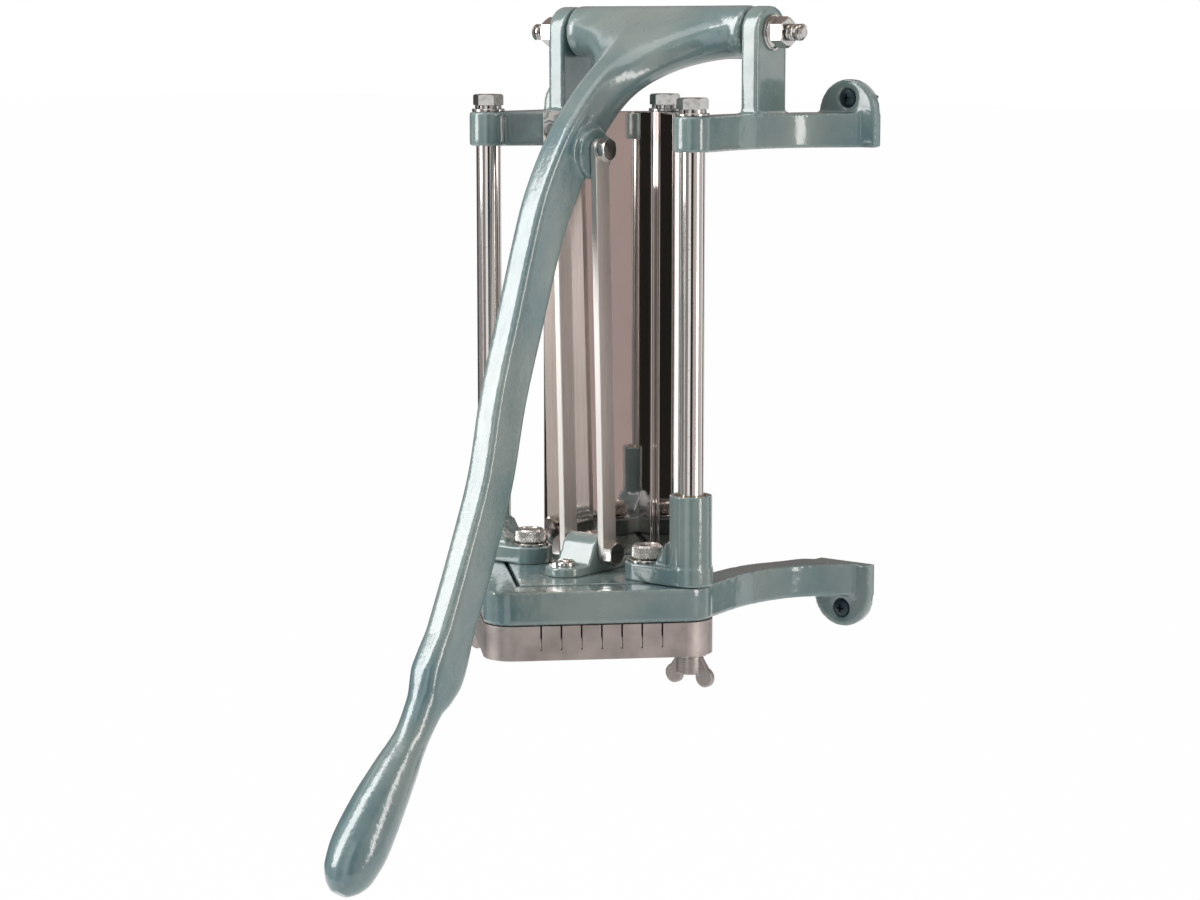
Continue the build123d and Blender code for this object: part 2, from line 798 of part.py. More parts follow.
peg_side = fry_width - blade_thickness - peg_clearance
peg_end = tray_base + peg_recess
peg_field = (fries_across - 1) * fry_width + peg_side
peg_corner = bend_radius - (opening_side - peg_field) / 2
with BuildPart() as pusher_block:
    with BuildSketch(level(plate_base - block_base)):
        with Locations((0, head_y)):
            RectangleRounded(plate_side, plate_side, plate_corner, rotation=45)
    extrude(amount=block_base)
    with BuildSketch(level(peg_end)):
        with Locations(turned_head[45]):
            with GridLocations(fry_width, fry_width, fries_across, fries_across):
                Rectangle(peg_side, peg_side)
        with Locations(turned_head[45]):
            RectangleRounded(peg_field, peg_field, peg_corner, mode=Mode.INTERSECT)
    extrude(amount=plate_base - block_base - peg_end)
pusher_block.part.label = "pusher_block"
export_step(pusher_block.part, "parts/pusher_block.step")

# Sliders: a bushed sleeve on each guide rod with a foot that reaches in over the plate
sleeve_bore = rod_radius + running_fit + slider_bush_wall
foot_top = plate_top + foot_height


def slider(side):
    """A sleeve, its foot and the gusset between them."""
    rod_x = side * rod_circle_radius
    thumb_x = side * thumb_spacing / 2
    gusset_start = rod_x - side * (sleeve_radius - gusset_overlap)
    gusset_rise = foot_height * gusset_share
    with BuildPart() as body:
        extrude(disc(sleeve_radius, plate_top, [(rod_x, head_y)]), amount=sleeve_height)
        with BuildSketch(level(plate_top)):
            with Locations(((rod_x + thumb_x) / 2, head_y)):
                SlotCenterToCenter(abs(rod_x - thumb_x), foot_width)
        extrude(amount=foot_height)
        with BuildSketch(Plane.XZ.offset(-head_y)):
            with BuildLine():
                Polyline(
                    (gusset_start, foot_top),
                    (thumb_x + side * thumb_washer_radius, foot_top),
                    (gusset_start, foot_top + gusset_rise),
                    close=True,
                )
            make_face()
        extrude(amount=foot_width / 3, both=True)
        extrude(disc(sleeve_bore, plate_top, [(rod_x, head_y)]), amount=sleeve_height, mode=Mode.SUBTRACT)
        thumb_hole = disc(thumb_bore, plate_top, [(thumb_x, head_y)])
        extrude(thumb_hole, amount=foot_height, mode=Mode.SUBTRACT)
    return body


left_slider = slider(-1)
left_slider.part.label = "left_slider"
export_step(left_slider.part, "parts/left_slider.step")

right_slider = slider(1)
right_slider.part.label = "right_slider"
export_step(right_slider.part, "parts/right_slider.step")

with BuildPart() as slider_bushes:
    bush = ring(sleeve_bore - rod_fit, rod_radius + running_fit, plate_top, side_rods)
    extrude(bush, amount=sleeve_height)
slider_bushes.part.label = "slider_bushes"
export_step(slider_bushes.part, "parts/slider_bushes.step")

# Thumb nuts that hold the sliders' feet to the plate, each on a stud over a washer
thumb_washer_top = foot_top + thumb_washer_height
thumb_nut_base = thumb_washer_top + turning_gap
thumb_cap = thumb_nut_height / 6
with BuildPart() as thumb_washers:
    washer = ring(thumb_washer_radius, thumb_bore, foot_top, thumb_places)
    extrude(washer, amount=thumb_washer_height)
thumb_washers.part.label = "thumb_washers"
export_step(thumb_washers.part, "parts/thumb_washers.step")

stud_top = thumb_nut_base + thumb_nut_height - thumb_cap - turning_gap
with BuildPart() as thumb_studs:
    extrude(disc(thumb_stud_radius, plate_base, thumb_places), amount=stud_top - plate_base)
thumb_studs.part.label = "thumb_studs"
export_step(thumb_studs.part, "parts/thumb_studs.step")


def thumb_nut(place):
    """A fluted nut with a closed top."""
    with BuildPart() as nut:
        with BuildSketch(level(thumb_nut_base)):
            with Locations(place):
                Circle(thumb_nut_radius)
                with PolarLocations(thumb_nut_radius, thumb_flutes):
                    Circle(thumb_flute_radius, mode=Mode.SUBTRACT)
        extrude(amount=thumb_nut_height)
        with BuildSketch(level(thumb_nut_base)):
            with Locations(place):
                Circle(thumb_stud_radius + running_fit)
        extrude(amount=thumb_nut_height - thumb_cap, mode=Mode.SUBTRACT)
    return nut


left_thumb_nut = thumb_nut(thumb_places[0])
left_thumb_nut.part.label = "left_thumb_nut"
export_step(left_thumb_nut.part, "parts/left_thumb_nut.step")

right_thumb_nut = thumb_nut(thumb_places[1])
right_thumb_nut.part.label = "right_thumb_nut"
export_step(right_thumb_nut.part, "parts/right_thumb_nut.step")

# Link bracket: a base on the plate with a rounded front pad, a lug and a wedge before it
lug_half = link_inner - side_play
bracket_top = plate_top + bracket_base
with BuildPart() as link_bracket:
    with BuildSketch(level(plate_top)):
        with Locations((0, front_screw_y)):
            Circle(bracket_pad_radius)
        with Locations((0, (front_screw_y + head_y + bracket_rear) / 2)):
            Rectangle(2 * bracket_pad_radius, head_y + bracket_rear - front_screw_y)
    extrude(amount=bracket_base)
    with BuildSketch(side_plane(-lug_half)):
        with Locations((head_y, lower_pin_z)):
            Circle(lug_radius)
        with Locations((head_y, (lower_pin_z + plate_top) / 2)):
            Rectangle(2 * lug_radius, lower_pin_z - plate_top)
    extrude(amount=2 * lug_half)
    with BuildSketch(side_plane(-lug_half)):
        with BuildLine():
            Polyline(
                (head_y, bracket_top),
                (front_screw_y + bracket_screw_head_radius + side_play, bracket_top),
                (head_y - lug_radius * lug_lean_share, lower_pin_z + lug_radius * lug_lean_share),
                (head_y, lower_pin_z),
                close=True,
            )
        make_face()
    extrude(amount=2 * lug_half)
    pin_way = side_disc(-lug_half, head_y, lower_pin_z, lower_pin_radius + lug_clearance)
    extrude(pin_way, amount=2 * lug_half, mode=Mode.SUBTRACT)
    hole = disc(bracket_screw_radius + rod_fit, plate_top, bracket_screw_places)
    extrude(hole, amount=bracket_base, mode=Mode.SUBTRACT)
link_bracket.part.label = "link_bracket"
export_step(link_bracket.part, "parts/link_bracket.step")

with BuildPart() as bracket_screws:
    head = disc(bracket_screw_head_radius, bracket_top, bracket_screw_places)
    extrude(head, amount=bracket_screw_head_height)
    shank = disc(bracket_screw_radius, plate_base, bracket_screw_places)
    extrude(shank, amount=bracket_top - plate_base)
bracket_screws.part.label = "bracket_screws"
export_step(bracket_screws.part, "parts/bracket_screws.step")

# Wall screws: a head in the ear's recess, a plain neck in its hole and a shank that stands out behind it
screw_seat = wall_recess_depth - ear_thickness
with BuildPart() as wall_screws:
    both_heights = [wall_hole_height, -wall_hole_height]
    extrude(wall_discs(wall_screw_head_radius, screw_seat, both_heights), amount=wall_screw_head_height)
    extrude(wall_discs(wall_screw_neck_radius, 0, both_heights), amount=-screw_seat)
    extrude(wall_discs(wall_screw_radius, wall_screw_reach, both_heights), amount=wall_screw_reach)
wall_screws.part.label = "wall_screws"
export_step(wall_screws.part, "parts/wall_screws.step")
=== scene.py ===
from math import cos, pi, radians, sin, sqrt

import bmesh
import bpy
from bpy.props import FloatProperty, FloatVectorProperty, IntProperty, PointerProperty
from mathutils import Matrix, Vector


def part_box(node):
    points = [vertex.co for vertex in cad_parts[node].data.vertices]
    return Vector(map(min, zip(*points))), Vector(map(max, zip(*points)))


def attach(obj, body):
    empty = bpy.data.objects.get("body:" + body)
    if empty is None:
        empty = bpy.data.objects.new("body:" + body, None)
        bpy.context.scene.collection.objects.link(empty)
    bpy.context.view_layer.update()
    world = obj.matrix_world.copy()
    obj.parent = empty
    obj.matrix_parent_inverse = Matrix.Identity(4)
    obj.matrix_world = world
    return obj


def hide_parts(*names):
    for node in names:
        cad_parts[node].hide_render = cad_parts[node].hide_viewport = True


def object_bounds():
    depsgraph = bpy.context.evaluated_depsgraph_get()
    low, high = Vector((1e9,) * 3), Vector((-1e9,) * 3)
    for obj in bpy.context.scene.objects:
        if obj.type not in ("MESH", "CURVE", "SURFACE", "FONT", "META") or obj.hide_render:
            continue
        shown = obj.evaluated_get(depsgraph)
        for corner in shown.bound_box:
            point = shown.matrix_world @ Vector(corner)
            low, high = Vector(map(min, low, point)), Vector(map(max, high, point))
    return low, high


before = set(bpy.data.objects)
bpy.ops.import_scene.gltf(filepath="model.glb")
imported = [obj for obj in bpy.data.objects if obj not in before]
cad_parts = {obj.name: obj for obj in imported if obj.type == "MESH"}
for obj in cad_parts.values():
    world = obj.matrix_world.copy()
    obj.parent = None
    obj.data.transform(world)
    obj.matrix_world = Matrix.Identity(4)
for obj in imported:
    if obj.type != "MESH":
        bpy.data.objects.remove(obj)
cad_box = [list(corner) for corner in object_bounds()]

bl_info = {
    "name": "Wall cutter finish",
    "version": (1, 0, 0),
    "blender": (4, 5, 0),
    "location": "View3D > Sidebar > Cutter",
    "description": "Enamelled castings, rods, trough, blades and fasteners for a wall cutter",
    "category": "Object",
}

# Material slots
ENAMEL = "grey_green_enamel"
POLISHED = "polished_steel"
SHEET = "stainless_sheet"
TRAY = "tray_steel"
BLADE = "blade_steel"
PEGS = "cast_aluminium"
ZINC = "zinc_fasteners"
DARK = "dark_wall_screws"

# CAD nodes that stand in rows
GUIDE_RODS = ("left_guide_rod", "right_guide_rod")
RODS = GUIDE_RODS + ("back_tie_rod",)
THUMB_NUTS = ("left_thumb_nut", "right_thumb_nut")
WING_NUTS = ("left_wing_nut", "right_wing_nut")

# Sizes that several pieces share, in metres
M8_ACROSS = 0.013
M8_HOLE = 0.00405
M8_WASHER = 0.008
M6_ACROSS = 0.010
M6_HOLE = 0.00305
FRY_PITCH = 0.009525
BLADES = 7
MERGE = 0.000004

# Angles over which an edge stays sharp, in degrees
HEX_SHARP = 24.0
SCREW_SHARP = 32.0


class CastingSizes(bpy.types.PropertyGroup):
    """How the castings are rounded and painted."""

    frame_voxel: FloatProperty(
        name="Frame grain", description="Voxel of the frame castings",
        default=0.00085, unit="LENGTH",
    )
    lever_voxel: FloatProperty(
        name="Lever grain", description="Voxel of the lever", default=0.00075, unit="LENGTH",
    )
    small_voxel: FloatProperty(
        name="Small grain", description="Voxel of the pusher's castings",
        default=0.00050, unit="LENGTH",
    )
    wing_voxel: FloatProperty(
        name="Wing nut grain", description="Voxel of the wing nuts",
        default=0.00028, unit="LENGTH",
    )
    enamel: FloatVectorProperty(
        name="Enamel", description="Paint colour",
        default=(0.215, 0.274, 0.256), subtype="COLOR", size=3,
    )
    # Colour of random darker patches: partly the paint's own tone, partly the paint's colour in
    # painted shade
    enamel_tone_and_painted_shade: FloatVectorProperty(
        name="Enamel shade", description="Darker patches of the paint",
        default=(0.100, 0.180, 0.192), subtype="COLOR", size=3,
    )
    # Lighter colour on the edges: partly paint rubbed thin, partly painted highlight
    edge_wear_and_highlight: FloatVectorProperty(
        name="Worn edge", description="Paint rubbed thin on the edges",
        default=(0.430, 0.450, 0.420), subtype="COLOR", size=3,
    )


class MetalSizes(bpy.types.PropertyGroup):
    """Colours of the bare metals and the proportions of bent and turned parts."""

    rod_colour: FloatVectorProperty(
        name="Rods", description="Polished rods",
        default=(0.72, 0.70, 0.68), subtype="COLOR", size=3,
    )
    sheet_colour: FloatVectorProperty(
        name="Trough", description="Stainless sheet",
        default=(0.56, 0.505, 0.485), subtype="COLOR", size=3,
    )
    tray_colour: FloatVectorProperty(
        name="Tray", description="Steel of the cutting head",
        default=(0.50, 0.45, 0.43), subtype="COLOR", size=3,
    )
    sheet_thickness: FloatProperty(
        name="Sheet", description="Thickness of the trough", default=0.0015, unit="LENGTH",
    )
    sheet_bend: FloatProperty(
        name="Bend", description="Inner radius of the trough's bend", default=0.0025, unit="LENGTH",
    )
    thread_pitch: FloatProperty(
        name="Thread pitch", description="Pitch of the bolts' threads",
        default=0.00125, unit="LENGTH",
    )
    knurl_count: IntProperty(
        name="Knurls", description="Diamonds round a thumb nut", default=30, min=12,
    )
    knurl_depth: FloatProperty(
        name="Knurl depth", description="Height of the thumb nuts' diamonds",
        default=0.00055, unit="LENGTH",
    )


class StageSizes(bpy.types.PropertyGroup):
    """The camera, the floor and the backdrop."""

    camera_place: FloatVectorProperty(
        name="Camera", description="Place of the camera",
        default=(0.8449, -1.1757, 0.1578), subtype="TRANSLATION", size=3,
    )
    camera_turn: FloatProperty(
        name="Turn", description="How far the camera stands round to the right",
        default=radians(37.85), subtype="ANGLE",
    )
    camera_dip: FloatProperty(
        name="Dip", description="How far the camera looks down",
        default=radians(8.35), subtype="ANGLE",
    )
    lens: FloatProperty(name="Lens", description="Focal length in millimetres", default=86.04)
    floor_drop: FloatProperty(
        name="Floor drop", description="Floor below the lowest point",
        default=0.55, unit="LENGTH",
    )
    backdrop: FloatVectorProperty(
        name="Backdrop", description="Colour of the background",
        default=(1.0, 1.0, 1.0), subtype="COLOR", size=3,
    )


def castings():
    return bpy.context.scene.cutter_castings


def metals():
    return bpy.context.scene.cutter_metals


def stage_sizes():
    return bpy.context.scene.cutter_stage


# Node helpers


def add(tree, kind, inputs=None, **values):
    """A node with its properties set, its inputs filled or linked."""
    node = tree.nodes.new(kind)
    for key, value in values.items():
        setattr(node, key, value)
    for key, value in (inputs or {}).items():
        if isinstance(value, bpy.types.NodeSocket):
            tree.links.new(value, node.inputs[key])
        else:
            node.inputs[key].default_value = value
    return node


def maths(tree, operation, first, second=0.0):
    """The result of one sum on two values."""
    return add(tree, "ShaderNodeMath", {0: first, 1: second}, operation=operation).outputs[0]


def new_material(name):
    """A material with its Principled shader and the object's own coordinates."""
    material = bpy.data.materials.new(name)
    material.use_nodes = True
    tree = material.node_tree
    shader = tree.nodes["Principled BSDF"]
    place = tree.nodes.new("ShaderNodeTexCoord").outputs["Object"]
    return material, tree, shader, place


def stretched(tree, place, scale):
    """Coordinates scaled differently along each axis."""
    return add(tree, "ShaderNodeMapping", {"Vector": place, "Scale": scale}).outputs["Vector"]


def grain(tree, place, scale, detail=4.0, roughness=0.55):
    """Plain noise at a scale, in features per metre."""
    inputs = {"Vector": place, "Scale": scale, "Detail": detail, "Roughness": roughness}
    return add(tree, "ShaderNodeTexNoise", inputs).outputs["Fac"]


def ranged(tree, value, low, high, out_low=0.0, out_high=1.0):
    """A value carried from one range to another, held at its ends."""
    inputs = {
        "Value": value, "From Min": low, "From Max": high, "To Min": out_low, "To Max": out_high,
    }
    return add(tree, "ShaderNodeMapRange", inputs).outputs["Result"]


def mixed(tree, share, first, second):
    """Two colours mixed by a share."""
    return add(tree, "ShaderNodeMix", {0: share, 6: first, 7: second}, data_type="RGBA").outputs[2]


def raised(tree, height, strength, distance, under=None):
    """A bump of a height map, over another where one is given."""
    inputs = {"Height": height, "Strength": strength, "Distance": distance}
    if under is not None:
        inputs["Normal"] = under
    return add(tree, "ShaderNodeBump", inputs).outputs["Normal"]


def solid(colour, share=1.0):
    """A colour with its alpha, darkened where a share is given."""
    return (share * colour[0], share * colour[1], share * colour[2], 1.0)


def link(tree, value, shader, name):
    tree.links.new(value, shader.inputs[name])


def bare_metal(tree, shader, body, rough, bump=None, metallic=1.0):
    """Gives a metal its colour, its roughness and its fine relief."""
    link(tree, body, shader, "Base Color")
    link(tree, rough, shader, "Roughness")
    if bump is not None:
        link(tree, bump, shader, "Normal")
    shader.inputs["Metallic"].default_value = metallic


def coated(tree, shader, bump, weight, rough, ior):
    """Lays a clear gloss over the paint that follows its relief."""
    link(tree, bump, shader, "Normal")
    link(tree, bump, shader, "Coat Normal")
    for name, value in (("Coat Weight", weight), ("Coat Roughness", rough), ("Coat IOR", ior)):
        shader.inputs[name].default_value = value


# Materials


def paint_with_wear_and_painted_light(tree, shader, patches, rubbed, flecks):
    """Enamel in random patches of two tones, the darker partly painted shade, and lighter in flecks
    along the edges: partly rubbed through, partly painted highlight.
    """
    sizes = castings()
    edge = add(tree, "ShaderNodeNewGeometry").outputs["Pointiness"]
    # Darker patches: partly random tone of the paint, partly painted shade
    body = mixed(tree, patches, solid(sizes.enamel), solid(sizes.enamel_tone_and_painted_shade))
    # Edge flecks: partly paint rubbed through, partly painted highlight
    bare = maths(tree, "MULTIPLY", ranged(tree, edge, *rubbed), flecks)
    link(tree, mixed(tree, bare, body, solid(sizes.edge_wear_and_highlight)), shader, "Base Color")


def enamel_material():
    """Glossy grey-green enamel over a slightly uneven casting, lighter in flecks at its edges,
    partly rubbed and partly painted highlight, with darker patches partly of painted shade.
    """
    material, tree, shader, place = new_material(ENAMEL)
    # Random patches of the darker colour, which is partly painted shade
    patches = ranged(tree, grain(tree, place, 26.0), 0.35, 0.70)
    # Flecks that lighten the edges: partly wear, partly painted highlight
    flecks = ranged(tree, grain(tree, place, 420.0), 0.48, 0.66, 0.0, 0.75)
    paint_with_wear_and_painted_light(tree, shader, patches, (0.515, 0.560), flecks)
    sheen = grain(tree, place, 90.0)
    link(tree, ranged(tree, sheen, 0.35, 0.75, 0.16, 0.34), shader, "Roughness")
    waves = raised(tree, grain(tree, place, 120.0, detail=2.0), 0.35, 0.00045)
    pores = raised(tree, grain(tree, place, 900.0, detail=3.0), 0.22, 0.00010, under=waves)
    coated(tree, shader, pores, 0.8, 0.07, 1.7)
    return material


def lever_material():
    """The same enamel, with more edge flecks, partly wear and partly painted highlight, and more
    uneven where the hand rubs it.
    """
    material, tree, shader, place = new_material("lever_enamel")
    # Random patches of the darker colour, which is partly painted shade
    patches = ranged(tree, grain(tree, place, 16.0), 0.38, 0.66)
    # Flecks that lighten the lever's edges: partly wear, partly painted highlight
    flecks = ranged(tree, grain(tree, place, 520.0, detail=5.0), 0.52, 0.66, 0.0, 0.9)
    paint_with_wear_and_painted_light(tree, shader, patches, (0.505, 0.535), flecks)
    sheen = grain(tree, stretched(tree, place, (300.0, 90.0, 90.0)), 1.0, detail=6.0)
    link(tree, ranged(tree, sheen, 0.35, 0.72, 0.26, 0.46), shader, "Roughness")
    dents = raised(tree, grain(tree, place, 110.0, detail=3.0), 0.45, 0.0006)
    pores = raised(tree, grain(tree, place, 520.0, detail=4.0), 0.45, 0.00018, under=dents)
    coated(tree, shader, pores, 1.0, 0.14, 1.75)
    return material


def rod_material():
    """Polished rod with drawn streaks along it and a few pits."""
    material, tree, shader, place = new_material(POLISHED)
    colour = metals().rod_colour
    streaks = grain(tree, stretched(tree, place, (900.0, 900.0, 18.0)), 1.0, detail=5.0)
    pits = ranged(tree, grain(tree, place, 700.0, detail=2.0), 0.66, 0.74, 0.0, 0.6)
    body = mixed(tree, pits, solid(colour), solid(colour, 0.45))
    rough = ranged(tree, streaks, 0.3, 0.75, 0.03, 0.15)
    bare_metal(tree, shader, body, rough, raised(tree, streaks, 0.12, 0.00008))
    return material


def sheet_material():
    """Polished stainless sheet: nearly a mirror, with faint upright brushing."""
    material, tree, shader, place = new_material(SHEET)
    colour = metals().sheet_colour
    brushed = grain(tree, stretched(tree, place, (1400.0, 1400.0, 9.0)), 1.0, detail=5.0)
    clouds = ranged(tree, grain(tree, place, 14.0, detail=3.0), 0.35, 0.7)
    body = mixed(tree, clouds, solid(colour), solid(colour, 0.86))
    rough = ranged(tree, brushed, 0.3, 0.75, 0.012, 0.045)
    bare_metal(tree, shader, body, rough, raised(tree, brushed, 0.05, 0.00002))
    return material


def tray_material():
    """Worn satin steel with scratches and brown handling stains."""
    material, tree, shader, place = new_material(TRAY)
    colour = metals().tray_colour
    along = stretched(tree, place, (60.0, 60.0, 1500.0))
    scratches = grain(tree, along, 1.0, detail=6.0, roughness=0.7)
    stains = ranged(tree, grain(tree, place, 60.0, detail=5.0), 0.40, 0.72, 0.0, 0.9)
    body = mixed(tree, stains, solid(colour), solid(colour, 0.62))
    rough = ranged(tree, scratches, 0.3, 0.75, 0.36, 0.56)
    bare_metal(tree, shader, body, rough, raised(tree, scratches, 0.22, 0.00012))
    return material


def bar_material():
    """Flat steel bars with a dull drawn finish along them."""
    material, tree, shader, place = new_material("flat_steel_bars")
    drawn = grain(tree, stretched(tree, place, (900.0, 900.0, 30.0)), 1.0, detail=5.0)
    streaks = ranged(tree, drawn, 0.35, 0.7)
    body = mixed(tree, streaks, (0.92, 0.89, 0.85, 1.0), (0.76, 0.73, 0.69, 1.0))
    rough = ranged(tree, drawn, 0.3, 0.75, 0.34, 0.48)
    bare_metal(tree, shader, body, rough, raised(tree, drawn, 0.1, 0.00006))
    return material


def plain_metal(name, colour, rough, grain_scale):
    """A metal with small variations of its sheen, for fasteners and small parts."""
    material, tree, shader, place = new_material(name)
    speckle = grain(tree, place, grain_scale, detail=4.0)
    dull = ranged(tree, speckle, 0.5, 0.75, 0.0, 0.8)
    body = mixed(tree, dull, solid(colour), solid(colour, 0.75))
    sheen = ranged(tree, speckle, 0.3, 0.7, 0.7 * rough, 1.5 * rough)
    bare_metal(tree, shader, body, sheen, raised(tree, speckle, 0.12, 0.00005))
    return material


def dark_material():
    """Near-black blue metal of the wall screws, as dark as the shade in the ear holes."""
    material, tree, shader, place = new_material(DARK)
    speckle = grain(tree, place, 900.0)
    body = mixed(tree, speckle, (0.008, 0.020, 0.030, 1.0), (0.020, 0.050, 0.065, 1.0))
    bare_metal(tree, shader, body, ranged(tree, speckle, 0.3, 0.7, 0.30, 0.50), metallic=0.3)
    return material


MAKERS = {
    "enamel": enamel_material,
    "lever": lever_material,
    "rod": rod_material,
    "sheet": sheet_material,
    "tray": tray_material,
    "bar": bar_material,
    "dark": dark_material,
}
# Name, colour, roughness and features per metre of the plainer metals
PLAIN_METALS = {
    "blade": (BLADE, (0.66, 0.65, 0.63), 0.20, 500.0),
    "pegs": (PEGS, (0.60, 0.60, 0.60), 0.42, 300.0),
    "zinc": (ZINC, (0.56, 0.55, 0.53), 0.15, 400.0),
    "knurled": ("knurled_steel", (0.62, 0.62, 0.59), 0.27, 800.0),
    "cast_zinc": ("cast_zinc", (0.40, 0.365, 0.35), 0.34, 420.0),
    "bronze": ("bronze_bushes", (0.42, 0.27, 0.12), 0.30, 500.0),
}
made = {}


def material(name):
    """A material by its short name, made the first time that it is asked for."""
    if name not in made:
        made[name] = MAKERS[name]() if name in MAKERS else plain_metal(*PLAIN_METALS[name])
    return made[name]


# Mesh helpers


def linked(data, name):
    """A new object in the scene that carries a mesh, a lamp or a camera."""
    obj = bpy.data.objects.new(name, data)
    bpy.context.scene.collection.objects.link(obj)
    return obj


def modify(obj, name, kind, **values):
    """A modifier on an object, with its settings."""
    modifier = obj.modifiers.new(name, kind)
    for key, value in values.items():
        setattr(modifier, key, value)
    return modifier


def evaluated(obj, name):
    """The mesh of an object with its modifiers worked out, and the object removed."""
    bpy.context.view_layer.update()
    graph = bpy.context.evaluated_depsgraph_get()
    mesh = bpy.data.meshes.new_from_object(obj.evaluated_get(graph))
    mesh.name = name
    bpy.data.objects.remove(obj)
    return mesh


def smooth(mesh, sharp):
    """Smooth shading, with edges over an angle left sharp."""
    mesh.polygons.foreach_set("use_smooth", [True] * len(mesh.polygons))
    mesh.set_sharp_from_angle(angle=radians(sharp))


def poured(bm, name):
    """A bmesh turned into a mesh as it is."""
    mesh = bpy.data.meshes.new(name)
    bm.to_mesh(mesh)
    bm.free()
    return mesh


def mesh_from(bm, name, sharp=35.0):
    """A mesh with its faces outwards and smooth, and its sharper edges kept sharp."""
    bmesh.ops.recalc_face_normals(bm, faces=bm.faces)
    mesh = poured(bm, name)
    smooth(mesh, sharp)
    return mesh


def merged(node):
    """A copy of a CAD node's mesh with its corners joined."""
    bm = bmesh.new()
    bm.from_mesh(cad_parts[node].data)
    bmesh.ops.remove_doubles(bm, verts=bm.verts, dist=MERGE)
    return bm


def flat_joined(node):
    """A copy of a CAD node's mesh with its flat faces joined too."""
    bm = merged(node)
    bmesh.ops.dissolve_limit(bm, angle_limit=radians(0.5), verts=bm.verts, edges=bm.edges)
    return bm


def cast_mesh(node, voxel, rounds):
    """A CAD node as a casting: its corners and inner angles softened."""
    return softened(poured(merged(node), node + "_copy"), node + "_cast", voxel, rounds)


def softened(mesh, name, voxel, rounds, blends=()):
    """A mesh as one evenly meshed skin with soft corners.

    Each blend is a point, a reach and how many rounds of softening it gets.
    """
    obj = linked(mesh, name + "_rough")
    modify(obj, "grain", "REMESH", mode="VOXEL", voxel_size=voxel)
    mesh = evaluated(obj, name)
    obj = linked(mesh, name + "_soft")
    for index, (centre, reach, blend_rounds) in enumerate(blends):
        group = obj.vertex_groups.new(name="blend_%d" % index)
        for vert in mesh.vertices:
            share = 1.0 - (vert.co - centre).length / reach
            if share > 0:
                group.add([vert.index], min(1.0, 2.0 * share), "REPLACE")
        modify(obj, group.name, "SMOOTH", factor=0.5, iterations=blend_rounds,
               vertex_group=group.name)
    modify(obj, "soften", "SMOOTH", factor=0.5, iterations=rounds)
    mesh = evaluated(obj, name)
    mesh.polygons.foreach_set("use_smooth", [True] * len(mesh.polygons))
    return mesh


def cut(mesh, tool_mesh, name, sharp=50.0, **values):
    """A mesh with another taken out of it."""
    body = linked(mesh, name + "_whole")
    tool = linked(tool_mesh, name + "_tool")
    modify(body, "bite", "BOOLEAN", operation="DIFFERENCE", solver="EXACT", object=tool, **values)
    result = evaluated(body, name)
    bpy.data.objects.remove(tool)
    smooth(result, sharp)
    return result


def edged_mesh(node, width, sharp=30.0):
    """A CAD node with flat faces joined and its edges slightly broken."""
    mesh = poured(flat_joined(node), node + "_plain")
    smooth(mesh, sharp)
    obj = linked(mesh, node + "_rough")
    modify(obj, "edges", "BEVEL", width=width, segments=2, limit_method="ANGLE",
           angle_limit=radians(sharp), harden_normals=True)
    return evaluated(obj, node + "_edged")


def eased(pairs, here):
    """A value between (place, value) pairs, smooth and with no overshoot."""
    if here <= pairs[0][0]:
        return pairs[0][1]
    if here >= pairs[-1][0]:
        return pairs[-1][1]
    steps = [(two[1] - one[1]) / (two[0] - one[0]) for one, two in zip(pairs, pairs[1:])]
    slopes = [steps[0]]
    for one, two in zip(steps, steps[1:]):
        slopes.append(0.0 if one * two <= 0 else 2 * one * two / (one + two))
    slopes.append(steps[-1])
    spot = max(index for index in range(len(pairs) - 1) if pairs[index][0] <= here)
    (start, first), (end, last) = pairs[spot], pairs[spot + 1]
    run = end - start
    t = (here - start) / run
    return ((2 * t ** 3 - 3 * t ** 2 + 1) * first + (t ** 3 - 2 * t ** 2 + t) * run * slopes[spot]
            + (3 * t ** 2 - 2 * t ** 3) * last + (t ** 3 - t ** 2) * run * slopes[spot + 1])


def curve_through(knots, steps):
    """Points of a smooth curve through the knots, and which point each knot is."""
    points, marks = [], []
    for index in range(len(knots) - 1):
        before = knots[max(index - 1, 0)]
        one, two = knots[index], knots[index + 1]
        after = knots[min(index + 2, len(knots) - 1)]
        marks.append(len(points))
        for step in range(steps):
            t = step / steps
            points.append(0.5 * (
                2 * one + (two - before) * t + (2 * before - 5 * one + 4 * two - after) * t * t
                + (3 * one - before - 3 * two + after) * t * t * t
            ))
    marks.append(len(points))
    points.append(knots[-1])
    return points, marks


def rounded_section(half, deep, corner):
    """Points of a rounded rectangle, its flat sides divided too."""
    outline = []
    steps = 8
    flats = 8
    corners = ((1, 1), (-1, 1), (-1, -1), (1, -1))

    def on_corner(quarter, turns):
        x, d = corners[quarter % 4]
        angle = pi / 2 * turns
        across = x * (half - corner) + corner * cos(angle)
        return across, d * (deep - corner) + corner * sin(angle)

    for quarter in range(4):
        for step in range(steps + 1):
            outline.append(on_corner(quarter, quarter + step / steps))
        one = outline[-1]
        two = on_corner(quarter + 1, quarter + 1)
        for flat in range(1, flats):
            share = flat / flats
            outline.append(tuple(a + (b - a) * share for a, b in zip(one, two)))
    return outline


def join_rings(bm, lower, upper):
    """Faces between two rings, either of which may be one point."""
    count = max(len(lower), len(upper))
    if count == 1:
        return
    for step in range(count):
        after = (step + 1) % count
        corners = [lower[step % len(lower)], lower[after % len(lower)],
                   upper[after % len(upper)], upper[step % len(upper)]]
        unique = list(dict.fromkeys(corners))
        if len(unique) > 2:
            bm.faces.new(unique)


